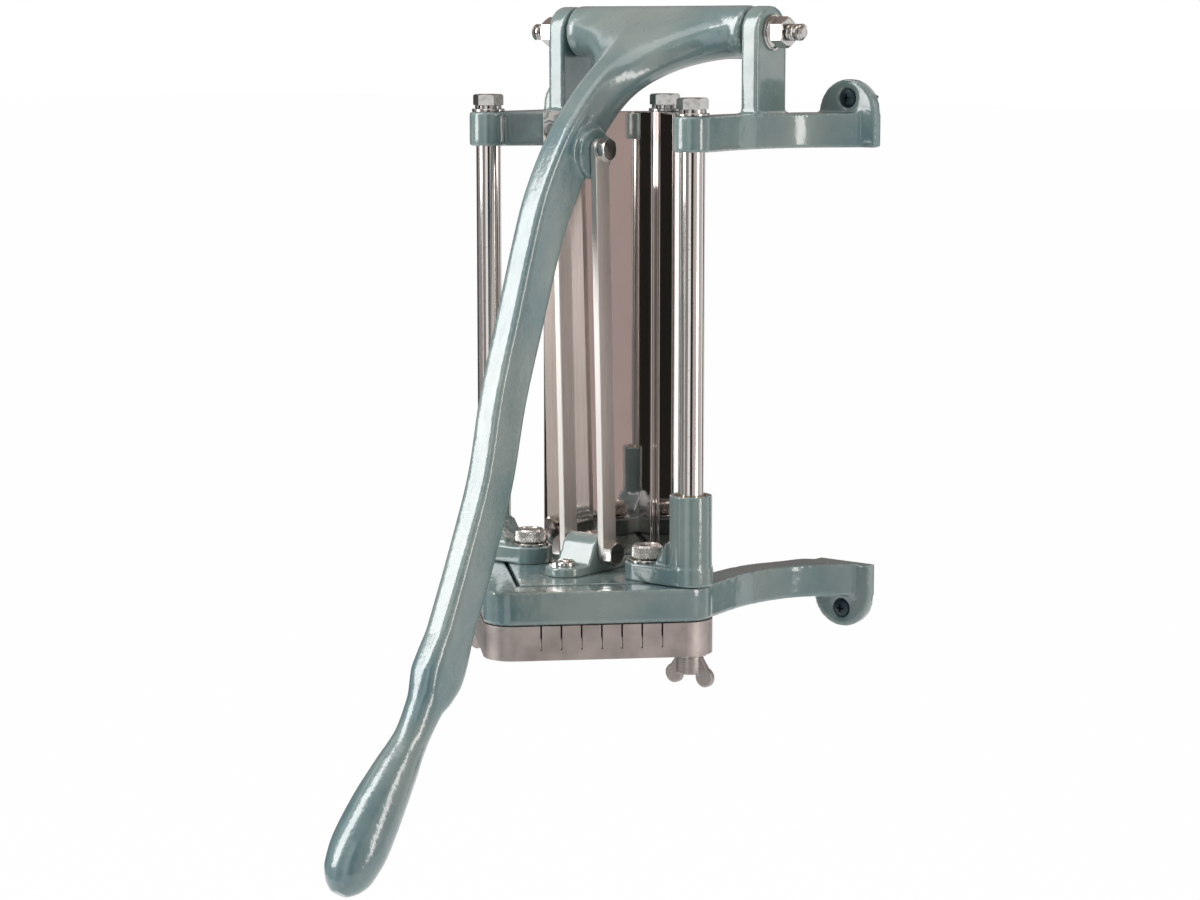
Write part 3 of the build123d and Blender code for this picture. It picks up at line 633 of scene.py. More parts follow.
def tube(bm, rings):
    """Faces along a row of rings, closed by a face at each end."""
    for one, two in zip(rings, rings[1:]):
        join_rings(bm, one, two)
    bm.faces.new(rings[0])
    bm.faces.new(rings[-1])
    return bm


def turned(profile, steps=72, closed=False):
    """A body turned round Z from (radius, height) pairs, its ends closed on the axis."""
    bm = bmesh.new()
    rings = []
    for radius, height in profile:
        if radius == 0:
            rings.append([bm.verts.new((0, 0, height))])
            continue
        angles = [2 * pi * step / steps for step in range(steps)]
        rings.append([bm.verts.new((radius * cos(a), radius * sin(a), height)) for a in angles])
    pairs = list(zip(rings, rings[1:]))
    if closed:
        pairs.append((rings[-1], rings[0]))
    for lower, upper in pairs:
        join_rings(bm, lower, upper)
    return bm


def pin(radius, start, end, steps=72):
    """A plain round shank along Z."""
    return turned([(0, start), (radius, start), (radius, end), (0, end)], steps)


def hex_body(across, height, hole=0.0, steps=72):
    """A hexagon with its corners turned off at the top, and a hole where one is given."""
    bm = bmesh.new()
    turn_radius = across / 2 * 0.975
    slope = 0.55

    def reach(angle):
        return across / 2 / cos((angle % (pi / 3)) - pi / 6)

    def ring(radius_at, height_at):
        angles = [2 * pi * step / steps for step in range(steps)]
        return [bm.verts.new((radius_at(a) * cos(a), radius_at(a) * sin(a), height_at(a)))
                for a in angles]

    rings = [
        ring(reach, lambda a: 0.0),
        ring(reach, lambda a: height - slope * (reach(a) - turn_radius)),
        ring(lambda a: turn_radius, lambda a: height),
    ]
    if hole:
        rings.append(ring(lambda a: hole, lambda a: height))
        rings.append(ring(lambda a: hole, lambda a: 0.0))
        pairs = list(zip(rings, rings[1:] + rings[:1]))
    else:
        rings.append([bm.verts.new((0, 0, height))])
        rings.insert(0, [bm.verts.new((0, 0, 0))])
        pairs = list(zip(rings, rings[1:]))
    for lower, upper in pairs:
        join_rings(bm, lower, upper)
    return bm


def block(sides, edge):
    """A block round the origin with its edges broken."""
    bm = bmesh.new()
    bmesh.ops.create_cube(bm, size=1.0)
    bmesh.ops.scale(bm, vec=sides, verts=bm.verts)
    bmesh.ops.bevel(bm, geom=list(bm.edges), offset=edge, segments=2, affect="EDGES")
    return bm


def washer(outer, inner, height, edge=None, top_edge=True):
    """A flat ring with its outer corners broken."""
    edge = edge or height / 5
    profile = [(inner, 0), (outer - edge, 0), (outer, edge)]
    profile += [(outer, height - edge), (outer - edge, height)] if top_edge else [(outer, height)]
    return turned(profile + [(inner, height)], closed=True)


def joined(parts, name, sharp=35.0):
    """Several bmeshes as one mesh, each moved by its matrix."""
    whole = bmesh.new()
    for bm, matrix in parts:
        bmesh.ops.recalc_face_normals(bm, faces=bm.faces)
        bmesh.ops.transform(bm, matrix=matrix, verts=bm.verts)
        piece = poured(bm, "part")
        whole.from_mesh(piece)
        bpy.data.meshes.remove(piece)
    mesh = poured(whole, name)
    smooth(mesh, sharp)
    return mesh


def with_mesh(parts, mesh, matrix=Matrix.Identity(4)):
    """Adds a finished mesh to a list of parts, as a bmesh."""
    bm = bmesh.new()
    bm.from_mesh(mesh)
    bpy.data.meshes.remove(mesh)
    parts.append((bm, matrix))


def at(x, y, z):
    return Matrix.Translation((x, y, z))


def turn_round(axis, degrees):
    return Matrix.Rotation(radians(degrees), 4, axis)


def facing(side, x, y, z):
    """A place where a body's Z points along X: to the right for 1, to the left for -1."""
    return at(x, y, z) @ turn_round("Y", 90 * side)


def middle(node):
    """The centre of a CAD node's box."""
    low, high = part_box(node)
    return (low + high) / 2


def places_on(nodes, height):
    """The upright axes of CAD nodes, at a height."""
    return [(middle(node).x, middle(node).y, height) for node in nodes]


# Geometry Nodes: fasteners on points, screw threads, knurls, blades and pegs


def new_tree(name, *inputs):
    """A geometry tree with its named inputs, and what its group input gives."""
    tree = bpy.data.node_groups.new(name, "GeometryNodeTree")
    first = ("Geometry", "NodeSocketGeometry", None)
    last = ("Finish", "NodeSocketMaterial", None)
    for label, kind, value in (first,) + inputs + (last,):
        socket = tree.interface.new_socket(name=label, in_out="INPUT", socket_type=kind)
        if value is not None:
            socket.default_value = value
    tree.interface.new_socket(name="Geometry", in_out="OUTPUT", socket_type="NodeSocketGeometry")
    return tree, tree.nodes.new("NodeGroupInput").outputs


def end_tree(tree, given, geometry):
    """Every tree ends by making its copies real and giving them their finish."""
    real = add(tree, "GeometryNodeRealizeInstances", {"Geometry": geometry}).outputs["Geometry"]
    finish = add(tree, "GeometryNodeSetMaterial", {"Geometry": real, "Material": given["Finish"]})
    add(tree, "NodeGroupOutput", {"Geometry": finish.outputs["Geometry"]})
    return tree


def copied(tree, points, piece):
    """A copy of an object on each point."""
    shape = add(tree, "GeometryNodeObjectInfo", {"Object": piece}).outputs["Geometry"]
    copies = add(tree, "GeometryNodeInstanceOnPoints", {"Points": points, "Instance": shape})
    return copies.outputs["Instances"]


def copies_tree():
    """A fastener on each point of a mesh."""
    tree, given = new_tree("fasteners_on_points", ("Piece", "NodeSocketObject", None))
    return end_tree(tree, given, copied(tree, given["Geometry"], given["Piece"]))


def thread_tree():
    """A screw thread: a ridge that winds round Z."""
    tree, given = new_tree(
        "screw_thread",
        ("Radius", "NodeSocketFloat", 0.004),
        ("Length", "NodeSocketFloat", 0.010),
        ("Turns", "NodeSocketFloat", 8.0),
        ("Ridge", "NodeSocketFloat", 0.0005),
    )
    spiral = add(tree, "GeometryNodeCurveSpiral", {
        "Resolution": 36,
        "Rotations": given["Turns"],
        "Start Radius": given["Radius"],
        "End Radius": given["Radius"],
        "Height": given["Length"],
    })
    section = {"Resolution": 4, "Radius": given["Ridge"]}
    ridge = add(tree, "GeometryNodeCurvePrimitiveCircle", section)
    wound = add(tree, "GeometryNodeCurveToMesh", {
        "Curve": spiral.outputs["Curve"],
        "Profile Curve": ridge.outputs["Curve"],
        "Fill Caps": True,
    })
    return end_tree(tree, given, wound.outputs["Mesh"])


def knurl_tree():
    """Diamonds raised on the upright side of a turned body."""
    tree, given = new_tree(
        "diamond_knurl",
        ("Diamonds", "NodeSocketFloat", 34.0),
        ("Lean", "NodeSocketFloat", 4000.0),
        ("Depth", "NodeSocketFloat", 0.0003),
    )
    position = add(tree, "GeometryNodeInputPosition").outputs[0]
    place = add(tree, "ShaderNodeSeparateXYZ", {"Vector": position}).outputs
    normal = add(tree, "GeometryNodeInputNormal").outputs[0]
    upright = add(tree, "ShaderNodeSeparateXYZ", {"Vector": normal}).outputs["Z"]
    angle = maths(tree, "ARCTAN2", place["Y"], place["X"])
    round_way = maths(tree, "MULTIPLY", angle, given["Diamonds"])
    up_way = maths(tree, "MULTIPLY", place["Z"], given["Lean"])

    def ridges(way):
        lean = maths(tree, "MULTIPLY", maths(tree, way, round_way, up_way), 0.5)
        return maths(tree, "ABSOLUTE", maths(tree, "SINE", lean))

    crossed = maths(tree, "MINIMUM", ridges("ADD"), ridges("SUBTRACT"))
    height = maths(tree, "MULTIPLY", crossed, given["Depth"])
    side = maths(tree, "LESS_THAN", maths(tree, "ABSOLUTE", upright), 0.3)
    lift = maths(tree, "MULTIPLY", height, side)
    along = add(tree, "ShaderNodeVectorMath", {0: normal}, operation="SCALE")
    tree.links.new(lift, along.inputs["Scale"])
    inputs = {"Geometry": given["Geometry"], "Offset": along.outputs[0]}
    return end_tree(tree, given, add(tree, "GeometryNodeSetPosition", inputs).outputs["Geometry"])


def row_tree():
    """Equal blades side by side."""
    tree, given = new_tree(
        "parallel_blades",
        ("Blade", "NodeSocketObject", None),
        ("Count", "NodeSocketInt", BLADES),
        ("Pitch", "NodeSocketFloat", FRY_PITCH),
    )
    gaps = maths(tree, "SUBTRACT", given["Count"], 1.0)
    half_run = maths(tree, "MULTIPLY", maths(tree, "MULTIPLY", gaps, given["Pitch"]), -0.5)
    row = add(tree, "GeometryNodeMeshLine", {
        "Count": given["Count"],
        "Start Location": add(tree, "ShaderNodeCombineXYZ", {"X": half_run}).outputs[0],
        "Offset": add(tree, "ShaderNodeCombineXYZ", {"X": given["Pitch"]}).outputs[0],
    }, mode="OFFSET")
    return end_tree(tree, given, copied(tree, row.outputs["Mesh"], given["Blade"]))


def peg_tree():
    """A square field of pegs."""
    tree, given = new_tree(
        "peg_field",
        ("Peg", "NodeSocketObject", None),
        ("Across", "NodeSocketInt", BLADES + 1),
        ("Side", "NodeSocketFloat", BLADES * FRY_PITCH),
    )
    field = add(tree, "GeometryNodeMeshGrid", {
        "Size X": given["Side"],
        "Size Y": given["Side"],
        "Vertices X": given["Across"],
        "Vertices Y": given["Across"],
    })
    return end_tree(tree, given, copied(tree, field.outputs["Mesh"], given["Peg"]))


def grown(tree, name, sharp=35.0, mesh=None, **values):
    """What a geometry tree makes, with its inputs set by their identifiers."""
    if mesh is None:
        mesh = bpy.data.meshes.new("empty")
    obj = linked(mesh, name + "_seed")
    modifier = modify(obj, "nodes", "NODES", node_group=tree)
    for item in tree.interface.items_tree:
        if item.in_out == "INPUT" and item.name in values:
            modifier[item.identifier] = values[item.name]
    result = evaluated(obj, name)
    smooth(result, sharp)
    return result


def on_points(piece_mesh, places, name, finish, sharp=35.0):
    """One mesh that holds a copy of a piece on each place."""
    piece = linked(piece_mesh, name + "_piece")
    points = bpy.data.meshes.new("places")
    points.from_pydata([tuple(place) for place in places], [], [])
    mesh = grown(copies_tree(), name, sharp, points, Piece=piece, Finish=material(finish))
    bpy.data.objects.remove(piece)
    return mesh


def thread_mesh(radius, length, name, finish):
    """A thread that starts at the origin and winds up Z."""
    pitch = metals().thread_pitch
    ridge = pitch * 0.42
    return grown(thread_tree(), name, 20.0, Radius=radius - ridge * 0.8, Length=length,
                 Turns=length / pitch, Ridge=ridge, Finish=material(finish))


# Finished pieces


def dress(mesh, name, finish, body, slot, *nodes):
    """A finished piece: its material, its body and the CAD nodes it stands for. The slot is not
    used.
    """
    obj = linked(mesh, name)
    mesh.materials.clear()
    mesh.materials.append(material(finish))
    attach(obj, body)
    if nodes:
        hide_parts(*nodes)
    return obj


def plated(mesh, name, body, node):
    """A zinc-plated piece that stands for a CAD node."""
    return dress(mesh, name, "zinc", body, ZINC, node)


def plated_row(piece, nodes, height, name, body, node, sharp=35.0):
    """A zinc-plated piece on the axis of each of some nodes, as one mesh."""
    plated(on_points(piece, places_on(nodes, height), name, "zinc", sharp), name, body, node)


def keep(node, finish):
    """A CAD node that stays as it is, with a finished material."""
    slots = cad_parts[node].material_slots
    for index in range(len(slots)):
        slots[index].material = material(finish)


class CUTTER_OT_castings(bpy.types.Operator):
    """Enamelled castings of the frame and the pusher"""

    bl_idname = "cutter.castings"
    bl_label = "Castings"

    def execute(self, context):
        sizes = castings()
        for node in ("upper_frame", "lower_frame"):
            mesh = cast_mesh(node, sizes.frame_voxel, rounds=7)
            dress(mesh, node + "_casting", "enamel", "frame", ENAMEL, node)
        for node in ("left_slider", "right_slider", "link_bracket"):
            mesh = cast_mesh(node, sizes.small_voxel, rounds=10)
            dress(mesh, node + "_casting", "enamel", "pusher", ENAMEL, node)
        plate = edged_mesh("pusher_plate", width=0.0009)
        dress(plate, "pusher_plate_casting", "enamel", "pusher", ENAMEL, "pusher_plate")
        return {"FINISHED"}


class CUTTER_OT_lever(bpy.types.Operator):
    """The curved lever with its hub, link boss and grip"""

    bl_idname = "cutter.lever"
    bl_label = "Lever"

    # Where each section stands: shares of the lever's reach and drop, then half its width,
    # half its depth and how round its corners are
    sections = (
        (0.085, 0.026, 0.0074, 0.0118, 0.60), (0.191, 0.069, 0.0072, 0.0118, 0.58),
        (0.269, 0.112, 0.0070, 0.0121, 0.56), (0.326, 0.156, 0.0070, 0.0124, 0.46),
        (0.377, 0.207, 0.0070, 0.0121, 0.44), (0.411, 0.254, 0.0070, 0.0115, 0.44),
        (0.466, 0.350, 0.0070, 0.0110, 0.44), (0.518, 0.444, 0.0070, 0.0107, 0.44),
        (0.557, 0.540, 0.0070, 0.0104, 0.44), (0.612, 0.628, 0.0070, 0.0110, 0.50),
        (0.678, 0.719, 0.0072, 0.0113, 0.60), (0.702, 0.750, 0.0077, 0.0128, 0.66),
        (0.718, 0.768, 0.0079, 0.0133, 0.72), (0.736, 0.786, 0.0078, 0.0116, 0.84),
        (0.755, 0.802, 0.0077, 0.0092, 0.94), (0.791, 0.834, 0.0081, 0.0081, 0.98),
        (0.840, 0.871, 0.0104, 0.0104, 0.98), (0.890, 0.909, 0.0124, 0.0124, 0.98),
        (0.935, 0.946, 0.0133, 0.0133, 0.98), (0.968, 0.974, 0.0117, 0.0117, 0.98),
        (0.986, 0.989, 0.0082, 0.0082, 0.98), (0.995, 0.997, 0.0040, 0.0040, 0.98),
    )
    # How much wider than the arm the flare is at half its depth, by distance from the pivot
    flare = (
        (0.0, 0.0434), (0.0080, 0.0432), (0.0128, 0.0395), (0.0160, 0.0335), (0.0200, 0.0270),
        (0.0260, 0.0205), (0.0340, 0.0138), (0.0440, 0.0078), (0.0560, 0.0036), (0.0700, 0.0010),
        (0.0850, 0.0),
    )
    reach = 0.2415
    drop = 0.3788
    # Half the arm's depth and how round its corners are, at the pivot
    root_depth = 0.0124
    root_corner = 0.60
    # How far the extra softening of the flare's root reaches, and its rounds
    root_reach = 0.062
    root_rounds = 40
    hub_radius = 0.0128
    hub_edge = 0.0012
    boss_radius = 0.0123
    pin_bore = 0.00306
    bolt_bore = 0.0041
    bush_bore = 0.00656
    bush_length = 0.0160

    def execute(self, context):
        pivot = middle("pivot_bolt")
        link_axis = middle("link_washers")
        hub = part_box("hub_bushes")[1].x - 0.001
        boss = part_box("link_washers")[1].x - 0.0045
        at_pivot = facing(1, 0, pivot.y, pivot.z)
        parts = [
            (self.arm(pivot), Matrix.Identity(4)),
            (turned(self.hub_profile(hub)), at_pivot),
            (pin(self.boss_radius, -boss, boss), facing(1, 0, link_axis.y, link_axis.z - 0.002)),
        ]
        root = Vector((0.0, pivot.y - 0.020, pivot.z - 0.010))
        rough = joined(parts, "lever_rough")
        blends = [(root, self.root_reach, self.root_rounds)]
        mesh = softened(rough, "lever_cast", castings().lever_voxel, 6, blends)
        bores = [
            (pin(self.pin_bore, -0.03, 0.03, steps=40), facing(1, 0, link_axis.y, link_axis.z)),
            (turned(self.bore_profile(hub), steps=40), at_pivot),
        ]
        mesh = cut(mesh, joined(bores, "bores"), "lever_cast")
        dress(mesh, "lever_casting", "lever", "lever", ENAMEL, "lever")
        keep("hub_bushes", "bronze")
        return {"FINISHED"}

    def hub_profile(self, hub):
        """The cross beam with its ends' corners broken."""
        face = self.hub_radius - self.hub_edge
        end = hub - self.hub_edge
        return [(0, -hub), (face, -hub), (self.hub_radius, -end), (self.hub_radius, end),
                (face, hub), (0, hub)]

    def bore_profile(self, hub):
        """The bolt's bore with a seat for a bush at each end."""
        past = 0.07
        seat = hub - self.bush_length
        return [(0, -past), (self.bush_bore, -past), (self.bush_bore, -seat),
                (self.bolt_bore, -seat), (self.bolt_bore, seat), (self.bush_bore, seat),
                (self.bush_bore, past), (0, past)]

    def arm(self, pivot):
        """The flare, the arm and the grip as one row of rounded sections."""
        knots = [Vector((pivot.y, pivot.z))]
        for section in self.sections:
            across, down = section[0] * self.reach, section[1] * self.drop
            knots.append(Vector((pivot.y - across, pivot.z - down)))
        line, marks = curve_through(knots, 16)
        lengths = [0.0]
        for one, two in zip(line, line[1:]):
            lengths.append(lengths[-1] + (two - one).length)
        widths = [(0.0, self.sections[0][2])]
        depths = [(0.0, self.root_depth)]
        rounds = [(0.0, self.root_corner)]
        for section, mark in zip(self.sections, marks[1:]):
            for pairs, value in zip((widths, depths, rounds), section[2:]):
                pairs.append((lengths[mark], value))
        bm = bmesh.new()
        rings = []
        for index, point in enumerate(line):
            before = line[max(index - 1, 0)]
            after = line[min(index + 1, len(line) - 1)]
            tangent = (after - before).normalized()
            side = Vector((-tangent.y, tangent.x))
            here = lengths[index]
            half, deep, corner = eased(widths, here), eased(depths, here), eased(rounds, here)
            ring = []
            for x, d in rounded_section(half, deep, corner * min(half, deep)):
                spot = point + side * d
                ahead = here / sqrt(1 - min(abs(d) / self.hub_radius, 0.98) ** 2)
                wide = x * (1 + eased(self.flare, ahead) / half)
                ring.append(bm.verts.new((wide, spot.x, spot.y)))
            rings.append(ring)
        return tube(bm, rings)


class CUTTER_OT_rods(bpy.types.Operator):
    """The polished rods between the castings"""

    bl_idname = "cutter.rods"
    bl_label = "Rods"

    stud = 0.004
    threaded = 0.011

    def execute(self, context):
        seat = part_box("lower_frame")[1].z
        stud = self.stud
        for node in RODS:
            low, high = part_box(node)
            centre = middle(node)
            radius = (high.x - low.x) / 2
            chamfer = radius / 8
            shoulder = seat - radius
            profile = [
                (0, low.z), (stud - chamfer, low.z), (stud, low.z + chamfer), (stud, shoulder),
                (radius - chamfer, shoulder), (radius, shoulder + chamfer),
                (radius, high.z - chamfer), (radius - chamfer, high.z), (0, high.z),
            ]
            parts = [(turned(profile), at(centre.x, centre.y, 0))]
            if node in GUIDE_RODS:
                thread = thread_mesh(stud + 0.0001, self.threaded, node + "_thread", "rod")
                with_mesh(parts, thread, at(centre.x, centre.y, low.z + chamfer))
            dress(joined(parts, node + "_bar"), node + "_bar", "rod", "frame", POLISHED, node)
        return {"FINISHED"}


class CUTTER_OT_trough(bpy.types.Operator):
    """The bent sheet that guides the potato"""

    bl_idname = "cutter.trough"
    bl_label = "Trough"

    # How far the sheet bows in and out of flat
    bow = 0.00012
    edge = 0.00025
    columns = 16
    rows = 60
    bend_steps = 10

    def execute(self, context):
        low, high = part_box("potato_trough")
        thick = metals().sheet_thickness
        bend = metals().sheet_bend
        end = high.x - thick / sqrt(2)
        corner = low.y + end
        line = self.line(end, corner, bend)
        bm = bmesh.new()
        grid = []
        for row in range(self.rows + 1):
            height = low.z + (high.z - low.z) * row / self.rows
            # Two waves up the sheet, about 240 mm and 100 mm long
            ripple = 0.6 * sin(height * 26.0 + 0.8) + 0.4 * sin(height * 61.0)
            points = []
            for point in line:
                across = max(0.0, abs(point.x) - bend) / end
                bow = self.bow * sin(pi * across) * ripple
                points.append(bm.verts.new((point.x + bow, point.y + bow, height)))
            grid.append(points)
        for lower, upper in zip(grid, grid[1:]):
            for index in range(len(line) - 1):
                bm.faces.new((lower[index], lower[index + 1], upper[index + 1], upper[index]))
        bmesh.ops.recalc_face_normals(bm, faces=bm.faces)
        towards_head = middle("blade_tray").y < corner
        if (bm.faces[:][0].normal.y > 0) == towards_head:
            bmesh.ops.reverse_faces(bm, faces=bm.faces)
        obj = linked(mesh_from(bm, "trough_plain", 38.0), "trough_rough")
        modify(obj, "wall", "SOLIDIFY", thickness=thick, offset=-1.0, use_even_offset=True)
        modify(obj, "edge", "BEVEL", width=self.edge, segments=2, limit_method="ANGLE",
               angle_limit=radians(40))
        modify(obj, "even", "WEIGHTED_NORMAL", keep_sharp=True)
        mesh = evaluated(obj, "trough_sheet")
        dress(mesh, "trough_sheet", "sheet", "frame", SHEET, "potato_trough")
        keep("trough_screws", "zinc")
        return {"FINISHED"}

    def line(self, end, corner, bend):
        """The sheet's course from above: a wing, the bend and the other wing."""
        centre = corner - bend * sqrt(2)
        start = Vector((bend * cos(radians(45)), centre + bend * sin(radians(45))))
        tip = Vector((end, corner - end))
        wing = [tip + (start - tip) * column / self.columns for column in range(self.columns)]
        course = list(wing)
        for index in range(self.bend_steps + 1):
            angle = radians(45) + radians(90) * index / self.bend_steps
            course.append(Vector((bend * cos(angle), centre + bend * sin(angle))))
        return course + [Vector((-point.x, point.y)) for point in reversed(wing)]


class CUTTER_OT_head(bpy.types.Operator):
    """The cutting head with its blades, and the pegs over it"""

    bl_idname = "cutter.head"
    bl_label = "Cutting head"

    foot_radius = 0.0018
    # Half the side of a square that parts the tray's outer edges from its inner ones
    parting = 0.046
    blade_thickness = 0.0006
    peg_side = 0.0080
    peg_edge = 0.0006
    peg_plate = 0.003
    plate_margin = 0.003
    plate_edge = 0.0005

    def execute(self, context):
        dress(self.tray(), "tray_casting", "tray", "frame", TRAY, "blade_tray")
        centre = middle("blade_tray")
        for node, turn in (("lower_blades", 45.0), ("upper_blades", -45.0)):
            low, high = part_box(node)
            row = (BLADES - 1) * FRY_PITCH
            length = (high.x - low.x) * sqrt(2) - row - self.blade_thickness
            piece = linked(self.blade(length, high.z - low.z), node + "_one")
            mesh = grown(row_tree(), node + "_row", 20.0, Blade=piece, Count=BLADES,
                         Pitch=FRY_PITCH, Finish=material("blade"))
            bpy.data.objects.remove(piece)
            mesh.transform(at(centre.x, centre.y, low.z) @ turn_round("Z", turn))
            dress(mesh, node + "_row", "blade", "frame", BLADE, node)
        self.pegs(centre)
        return {"FINISHED"}

    def tray(self):
        """The tray with its lower outer edge rounded."""
        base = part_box("blade_tray")[0].z
        centre = middle("blade_tray")
        inside = self.parting * sqrt(2)
        bm = flat_joined("blade_tray")
        weight = bm.edges.layers.float.new("bevel_weight_edge")
        for edge in bm.edges:
            one, two = (vert.co for vert in edge.verts)
            mid = (one + two) / 2 - centre
            if max(one.z, two.z) < base + 0.0001 and abs(mid.x) + abs(mid.y) > inside:
                edge[weight] = 1.0
        obj = linked(mesh_from(bm, "tray_plain", 30.0), "tray_plain")
        modify(obj, "foot", "BEVEL", width=self.foot_radius, segments=5, limit_method="WEIGHT",
               harden_normals=True)
        return evaluated(obj, "tray_casting")

    def blade(self, length, height):
        """A thin blade with its upper edge ground to a wedge."""
        half = self.blade_thickness / 2
        tip = half * 0.15
        ground = height * 0.6
        shape = [(-half, 0), (half, 0), (half, ground), (tip, height), (-tip, height),
                 (-half, ground)]
        bm = bmesh.new()
        ends = [[bm.verts.new((x, y, z)) for x, z in shape] for y in (-length / 2, length / 2)]
        return mesh_from(tube(bm, ends), "blade", 20.0)

    def pegs(self, centre):
        """The pusher's block: a plate with a field of square pegs."""
        low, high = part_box("pusher_block")
        length = high.z - self.peg_plate - low.z
        peg_block = block((self.peg_side, self.peg_side, length), self.peg_edge)
        peg = linked(mesh_from(peg_block, "peg", 40.0), "one_peg")
        mesh = grown(peg_tree(), "peg_field", 40.0, Peg=peg, Across=BLADES + 1,
                     Side=BLADES * FRY_PITCH, Finish=material("pegs"))
        bpy.data.objects.remove(peg)
        turn = turn_round("Z", 45)
        parts = []
        with_mesh(parts, mesh, at(centre.x, centre.y, low.z + length / 2) @ turn)
        side = (BLADES + 1) * FRY_PITCH - self.plate_margin
        plate = block((side, side, self.peg_plate), self.plate_edge)
        parts.append((plate, at(centre.x, centre.y, high.z - self.peg_plate / 2) @ turn))
        mesh = joined(parts, "pusher_pegs", 40.0)
        dress(mesh, "pusher_pegs", "pegs", "pusher", PEGS, "pusher_block")


